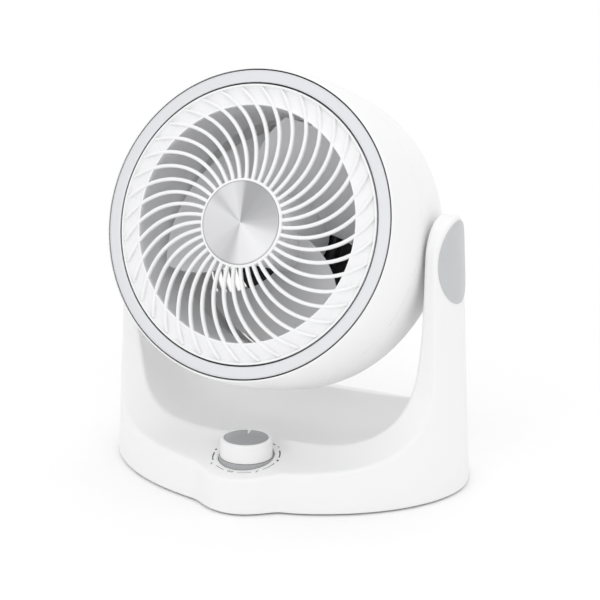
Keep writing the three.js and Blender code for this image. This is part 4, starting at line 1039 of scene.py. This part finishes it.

# %% [markdown]
# ## The knob
# The knob turns about an upright axis over the sloping panel, so it gets a frame of its own:
# its middle and its axis come from the model's joint. It is a white cup with a satin grey disc
# let into its top. A notch in the disc shows the white underneath and is the pointer. Below
# it a collar stands in the panel's pocket; its level top just clears the panel behind, and
# shows a few millimetres of its side in front. Its mid grey is partly the collar's own colour
# and partly painted shade, the shade that the knob casts on it.

# %% Knob frame
knob_at = np.array(joints["knob_turn"]["pos_m"]) * MM
knob_up = np.array(joints["knob_turn"]["axis"], float)
knob_up /= np.linalg.norm(knob_up)
knob_point = round_axis(knob_at, right, np.cross(knob_up, right), knob_up)     # the distance is the height
# partly painted shade: the collar's grey is darkened to stand for the shade under the knob
collar_grey_and_shade = moulded("grey_collar_and_painted_shade", "#a9aaac", 0.5)
knob_abs = moulded("white_abs_knob", "#f0f0f0", 0.38)
knob_paint = painted_silver("satin_grey_knob_disc", "#a4a5a7", roughness=0.42, metallic=0.35)
collar_section = [(4.0, -4.0), (22.0, -4.0), (22.0, 0.2), (4.0, 0.2)]
collar_skin = turned(collar_section, [0, 0.3, 0.6, 0], 120, knob_point)
make_piece("knob_seat_collar", [collar_skin], "base", ["knob_collar"], collar_grey_and_shade)
NOTCH_AT, NOTCH_HALF, NOTCH_EDGE = math.radians(90 + 18), math.radians(4.6), 0.012     # angles in radians
DISC_EDGE, NOTCH_END = 17.4, 9.4
POINTER_FROM, POINTER_HALF, POINTER_WIDE = 9.9, 4.2, 0.85   # radius, half length, share of the notch's width
cup_section = [(0, 13.5), (17.55, 13.5), (17.6, 15.3), (18.9, 15.5), (20.15, 14.5), (20.9, 0.5), (18.9, 0.5),
               (18.5, 1.5), (0, 1.5)]
cup = turned(cup_section, [0, 0.1, 0.3, 1.2, 0.7, 0.4, 0.2, 0.3, 0], 120, knob_point)


def pointer_grid():
    """A rounded bar on the cup's floor that fills the notch: a superellipse of radius and angle."""
    t = np.linspace(0, 2 * np.pi, 33)[None]
    size = np.array([1.0, 1.0, 0.9, 0.0])[:, None]
    height = np.array([13.4, 14.9, 15.1, 15.1])[:, None]
    radius = (DISC_EDGE + POINTER_FROM) / 2 + POINTER_HALF * size * squarer(np.cos(t), 0.5)
    across = POINTER_WIDE * NOTCH_HALF * size * squarer(np.sin(t), 0.5)
    return knob_point(radius, NOTCH_AT + across, height + 0 * t)


pointer = pointer_grid()
pointer = np.concatenate([middle_of(pointer[0]), pointer])
make_piece("knob_cup", [cup, pointer], "knob", ["knob_body"], knob_abs)


def notched_disc():
    """A disc whose edge steps in by the notch, at a short ramp of the angle on both sides of the notch."""
    t = np.linspace(0, 2 * np.pi, 481)[None] + NOTCH_AT
    off = np.abs(np.mod(t - NOTCH_AT + np.pi, 2 * np.pi) - np.pi)
    step = np.clip((off - NOTCH_HALF) / NOTCH_EDGE + 0.5, 0, 1)
    edge = DISC_EDGE - (DISC_EDGE - NOTCH_END) * (1 - step)
    size = np.array([0.0, 0.6, 0.985, 1.0, 1.0, 0.6, 0.0])[:, None]
    height = np.array([15.0, 15.0, 15.0, 14.85, 13.8, 13.8, 13.8])[:, None]
    return knob_point(edge * size, t, height + 0 * t)


make_piece("knob_top_plate", [notched_disc()], "knob", ["knob_top_disc"], knob_paint)

# %% [markdown]
# Round the knob the panel is printed with a ring of marks: OFF in front, small dots, and arcs
# that grow thicker, for the speed settings. Print has no thickness to speak of, so each mark
# is a thin sheet that follows the panel and lies a few hundredths of a millimetre above it.
# The dots and the thick arcs are printed nearly black, the thin arcs beside OFF in grey.

# %% Printed marks
MARK_RADIUS = 26.6
dark_ink = moulded("black_printing_ink", "#343437", 0.55, grain=0.2, depth=0.003)
grey_ink = moulded("grey_printing_ink", "#4c4c4f", 0.55, grain=0.2, depth=0.003)


def panel_point(radius, angle, lift):
    """A point of the panel at this radius and angle round the knob, lifted by a hair."""
    angle = angle - NOSE_TURN
    x, y = radius * np.cos(angle), NOSE_Y + radius * np.sin(angle) * math.cos(FRONT_SLOPE)
    flat = np.stack(np.broadcast_arrays(x, y, np.interp(y, side_y, side_z)), -1)
    return turn_nose(press_seat(flat)) + to_model + [0, 0, 1] * np.asarray(lift)[..., None]


def mark(start, end, thick_start, thick_end, radius=MARK_RADIUS):
    """A sheet between two angles in degrees whose width changes evenly, closed by a sunken copy of itself."""
    count = max(3, int(abs(end - start) / 2.0) + 2)
    t = np.linspace(0, 1, count)[:, None]
    angle = np.radians(start + (end - start) * t)
    half = (thick_start + (thick_end - thick_start) * t) / 2
    side = np.array([-1.0, 0.0, 1.0, 1.0, 0.0, -1.0, -1.0])[None]
    lift = np.array([0.06, 0.06, 0.06, -0.15, -0.15, -0.15, 0.06])[None]
    return closed_tube(panel_point(radius + side * half, angle + 0 * side, lift + 0 * angle))


dark_marks = [mark(177, 181, 1.6, 1.6, 27.3), mark(-171, -145, 1.15, 0.8), mark(0, 4.5, 1.6, 1.6, 27.0),
              mark(12, 35, 0.9, 1.2), mark(57, 63, 0.9, 0.9)]
grey_marks = [mark(-125, -105, 0.5, 0.45), mark(-79, -55, 0.35, 0.45), mark(-35, -8, 0.45, 0.65),
              mark(-138, -134.5, 0.9, 0.3, 28.3), mark(-136.5, -133, 0.3, 0.9, 29.3),
              mark(-49, -45.5, 0.3, 0.9, 27.6), mark(-46, -42, 0.9, 0.3, 26.6),
              mark(46, 49.5, 0.4, 1.1, 27.6)]
make_piece("dial_marks_dark", dark_marks, "base", (), dark_ink)
make_piece("dial_marks_grey", grey_marks, "base", (), grey_ink)

# %% Word OFF
WORD_AT, WORD_SUNK = np.radians(-91.7), 0.04               # angle round the knob, and mm into the panel
letters = bpy.data.curves.new("off_letters", "FONT")
letters.body, letters.size, letters.align_x, letters.align_y = "OFF", 3.0, "CENTER", "CENTER"
letters.extrude = 0.1
holder = new_object("off_letters", letters)
word = bpy.data.meshes.new_from_object(holder.evaluated_get(bpy.context.evaluated_depsgraph_get()))
bpy.data.objects.remove(holder)
letter_points = np.empty((len(word.vertices), 3))
word.vertices.foreach_get("co", letter_points.ravel())
x, y, z = letter_points.T
placed = panel_point(MARK_RADIUS - y, WORD_AT + x / MARK_RADIUS, z - WORD_SUNK)
word.vertices.foreach_set("co", (placed / MM).ravel())
word.materials.clear()
word.materials.append(dark_ink)
off_word = new_object("dial_word_off", word)
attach(off_word, "base")
print("OFF", len(word.polygons), "faces")

# %% [markdown]
# ## Caps, feet and plate
# An oval grey cap closes each arm over the tilt joint. It follows the arm's wall and stands a
# millimetre proud of it, with a soft edge. Under the base are a plate, a cord opening at the
# rear and four rubber feet.

# %% Arm caps
cap_abs = moulded("grey_abs_cap", "#c3c4c6", 0.36)
CAP_HALF_Y, CAP_HALF_Z, CAP_Z, CAP_PROUD = 28.0, 33.0, 188.0, 1.2


def cap_grid(side):
    """Rings of an oval, each set out from or into the arm's wall; the last rings round the edge over."""
    share_out = np.array([0.0, 0.25, 0.5, 0.75, 0.9, 0.955, 0.978, 0.992, 1.0, 1.0, 0.9, 0.0])[:, None]
    inset = np.array([-CAP_PROUD] * 6 + [-1.1, -0.85, -0.4, 1.2, 1.3, 1.3])[:, None]
    t = np.linspace(0, 2 * np.pi, 97)[None]
    y, z = CAP_HALF_Y * share_out * np.cos(t), CAP_Z + CAP_HALF_Z * share_out * np.sin(t)
    return wall_point(angle_on_wall(y, z), z, inset) * [side, 1, 1] + to_model


for side, node in ((1, "right"), (-1, "left")):
    make_piece(f"arm_cap_{node}", [cap_grid(side)], "base", [f"pivot_cap_{node}"], cap_abs)

# %% Feet, bottom plate and cord opening
foot_rubber = moulded("black_rubber_foot", "#2b2c2e", 0.75, ior=1.52, grain=0.5, depth=0.03)
rearwards, upwards = np.array([0.0, 1.0, 0.0]), np.array([0.0, 0.0, 1.0])
for number in (1, 2, 3, 4):
    low_corner, high_corner = (np.array(v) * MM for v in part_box(f"rubber_foot_{number}"))
    foot_point = round_axis((low_corner + high_corner) / 2 * [1, 1, 0], right, rearwards, upwards)
    foot_skin = turned([(0, 0), (9, 0), (9, 2.7), (0, 2.7)], [0, 0.7, 0.2, 0], 48, foot_point)
    make_piece(f"foot_{number}", [foot_skin], "base", [f"rubber_foot_{number}"], foot_rubber)
all_round = np.linspace(-np.pi / 2, np.pi / 2, 121)
# height, inset from the wall, and size, where 0 is the middle of the plate
plate_rings = [(6.0, 3.3, 0.0), (6.0, 3.3, 1.0), (3.3, 3.3, 1.0), (3.0, 3.7, 1.0), (3.0, 3.7, 0.0)]
plate_half = np.stack([wall_point(all_round, height, inset) * [size, size, 1]
                       for height, inset, size in plate_rings])
plate_skin = [turn_nose(plate_half * [side, 1, 1]) + to_model for side in (1, -1)]
make_piece("bottom_plate", plate_skin, "base", ["base_plate"], plate_abs)
GLAND_Z = 15.0                             # height of the cord opening in the rear wall
gland_y = float(wall_radius(np.array([np.pi / 2]), GLAND_Z)[0])
gland_point = round_axis(np.array([0.0, gland_y, GLAND_Z]) + to_model, right, upwards, rearwards)
gland_section = [(0, -0.2), (2.8, -0.2), (2.9, 0.45), (5.0, 0.5), (5.4, 0.1), (5.4, -2.0), (0, -2.0)]
gland_skin = turned(gland_section, [0, 0.1, 0.2, 0.3, 0.2, 0.2, 0], 48, gland_point)
make_piece("cord_bushing", [gland_skin], "base", ["cord_gland"], black_rubber_and_gap_shade)

# %% [markdown]
# ## Metal and plastic of the small parts
# The screws, pins, shaft, bearings and the pieces hidden inside keep their CAD shapes, which
# are right as they are, and get the finish of the real thing: zinc-plated steel with the fine
# lines of turning, sheet steel, copper wire, and plain dark plastics.

# %% Finishes of the carried-over pieces
def plated_steel(name, colour, roughness=0.32, line=0.4):
    """Full metal with fine lines of turning or winding, a size in mm apart, in its roughness."""
    material, tree, shader, where = fresh(name, Base_Color=linear(colour), Metallic=1.0)
    stretch = add(tree, "ShaderNodeMapping", Vector=where, Scale=(1.0, 6.0, 1.0))
    lines = add(tree, "ShaderNodeTexNoise", Vector=stretch.outputs[0], Scale=MM / line / 2, Detail=3.0)
    grainy(tree, shader, lines.outputs["Fac"], roughness - 0.08, roughness + 0.1, 0.01)
    return material


zinc = plated_steel("zinc_plated_steel", "#b9bbbe")
core_steel = plated_steel("laminated_core_steel", "#7f8183", roughness=0.45, line=0.5)
copper = plated_steel("enamelled_copper_winding", "#8f4a26", roughness=0.4, line=0.6)
black_pa = moulded("black_pa_plastic", "#26272a", 0.6)
cream_pom = moulded("natural_pom_bushing", "#d8d4c8", 0.5, ior=1.48)
finish_of = {"motor_stator": copper, "rotor_core": core_steel, "terminal_block": cream_pom,
             "capacitor": black_pa, "rotary_switch": black_pa, "pivot_bushing": cream_pom,
             "friction_washer": black_pa}
kept = 0
for node, carried in frame["nodes"].items():
    if carried.hide_render:
        continue
    finish = next((m for start, m in finish_of.items() if node.startswith(start)), zinc)
    carried.data.materials.clear()
    carried.data.materials.append(finish)
    kept += 1
print(kept, "CAD pieces kept, with new finishes")

# %% [markdown]
# ## Floor, light and camera
# The fan stands on a pale studio floor that runs up into a pale wall far behind it. The wall
# and the sky look white to the camera and in reflections, whatever the lamps do, and the
# lamps stay soft and plain so that white plastic keeps its shading.

# %% Floor and backdrop
PAPER_NEAR, PAPER_FAR = 0.24, 0.60         # metres from the fan between which the paper turns plain white
PAPER_FRONT, BEND_FROM, BEND_RADIUS, PAPER_TOP, PAPER_HALF = -3.2, 1.6, 0.8, 4.0, 4.0      # metres


def backdrop(half_width):
    """Floor height 0, turning up behind the object along a quarter circle into a wall."""
    bend = np.linspace(0.0, np.pi / 2, 24)
    curve = np.stack([BEND_FROM + BEND_RADIUS * np.sin(bend), BEND_RADIUS - BEND_RADIUS * np.cos(bend)], -1)
    path = np.concatenate([[[PAPER_FRONT, 0.0]], curve, [[BEND_FROM + BEND_RADIUS, PAPER_TOP]]])
    return np.stack([np.insert(path, 0, x, axis=1) for x in (-half_width, half_width)])


def seen_directly(tree):
    """1 for camera, glossy and transmission rays, and 0 for the light that falls on the fan."""
    rays = add(tree, "ShaderNodeLightPath")
    seen = rays.outputs["Is Camera Ray"]
    for kind in ("Is Glossy Ray", "Is Transmission Ray"):
        either = add(tree, "ShaderNodeMath", {"operation": "MAXIMUM"}, i0=seen, i1=rays.outputs[kind])
        seen = either.outputs[0]
    return seen


sheet = backdrop(PAPER_HALF)
floor_mesh = bpy.data.meshes.new("floor")
floor_mesh.from_pydata(sheet.reshape(-1, 3).tolist(), [], grid_faces(*sheet.shape[:2])[:, ::-1].tolist())
floor_mesh.polygons.foreach_set("use_smooth", np.ones(len(floor_mesh.polygons), bool))
floor = new_object("floor", floor_mesh)
paper = bpy.data.materials.new("white_background_paper")
paper.use_nodes = True
tree = paper.node_tree
tree.nodes.clear()
sheen = add(tree, "ShaderNodeBsdfDiffuse", Color=linear("#fdfdfd"))
plain = add(tree, "ShaderNodeEmission", Color=(1, 1, 1, 1), Strength=1.0)
place = add(tree, "ShaderNodeTexCoord")
away = add(tree, "ShaderNodeVectorMath", {"operation": "LENGTH"}, i0=place.outputs["Object"])
faded = add(tree, "ShaderNodeMapRange", {"interpolation_type": "SMOOTHSTEP"}, i0=away.outputs["Value"],
            i1=PAPER_NEAR, i2=PAPER_FAR)
share = add(tree, "ShaderNodeMath", {"operation": "MULTIPLY"}, i0=faded.outputs[0], i1=seen_directly(tree))
blend = add(tree, "ShaderNodeMixShader", Fac=share.outputs[0], i1=sheen.outputs[0], i2=plain.outputs[0])
add(tree, "ShaderNodeOutputMaterial", Surface=blend.outputs[0])
floor_mesh.materials.append(paper)
print("floor", len(floor_mesh.polygons), "faces")

# %% World and lamps
world = bpy.data.worlds.new("studio")
bpy.context.scene.world = world
world.use_nodes = True
sky = world.node_tree
sky.nodes.clear()
soft = add(sky, "ShaderNodeBackground", Color=(1, 1, 1, 1), Strength=0.87)
white = add(sky, "ShaderNodeBackground", Color=(1, 1, 1, 1), Strength=1.0)
both = add(sky, "ShaderNodeMixShader", Fac=seen_directly(sky), i1=soft.outputs[0], i2=white.outputs[0])
add(sky, "ShaderNodeOutputWorld", Surface=both.outputs[0])


def aimed(name, data, place, direction):
    """A lamp or camera at a place, in metres, that looks in a direction."""
    made = new_object(name, data)
    made.location = place
    made.rotation_mode = "QUATERNION"
    made.rotation_quaternion = direction.to_track_quat("-Z", "Y")
    return made


def lamp(name, place, aim, size, power):
    """A square area lamp of a size in metres and a power in watts, turned to look at a point."""
    light = bpy.data.lights.new(name, "AREA")
    light.shape, light.size, light.energy = "SQUARE", size, power
    aimed(name, light, place, Vector(aim) - Vector(place))


lamp("key", (1.5, -1.7, 1.9), (0, 0, 0.17), 1.6, 5.9)
lamp("fill", (-0.6, -2.2, 1.0), (0, 0, 0.12), 1.5, 3.3)
lamp("top", (0.0, 0.2, 2.2), (0, 0, 0.15), 1.8, 7.2)

# %% Camera
AZIMUTH, ELEVATION = math.radians(25.7), math.radians(15.7)
LOOK_AT, CAMERA_AWAY = Vector((0.0, 0.00598, 0.150)), 1.404        # metres
level = math.cos(ELEVATION)
back = Vector((math.sin(AZIMUTH) * level, -math.cos(AZIMUTH) * level, math.sin(ELEVATION)))
lens = bpy.data.cameras.new("camera")
lens.lens, lens.sensor_width = 102.8, 36.0
lens.shift_x, lens.shift_y = 0.0161, -0.0215
camera = aimed("camera", lens, LOOK_AT + CAMERA_AWAY * back, -back)
bpy.context.scene.camera = camera
bpy.context.scene.view_settings.view_transform = "Standard"
print("camera", tuple(round(v, 3) for v in camera.location))
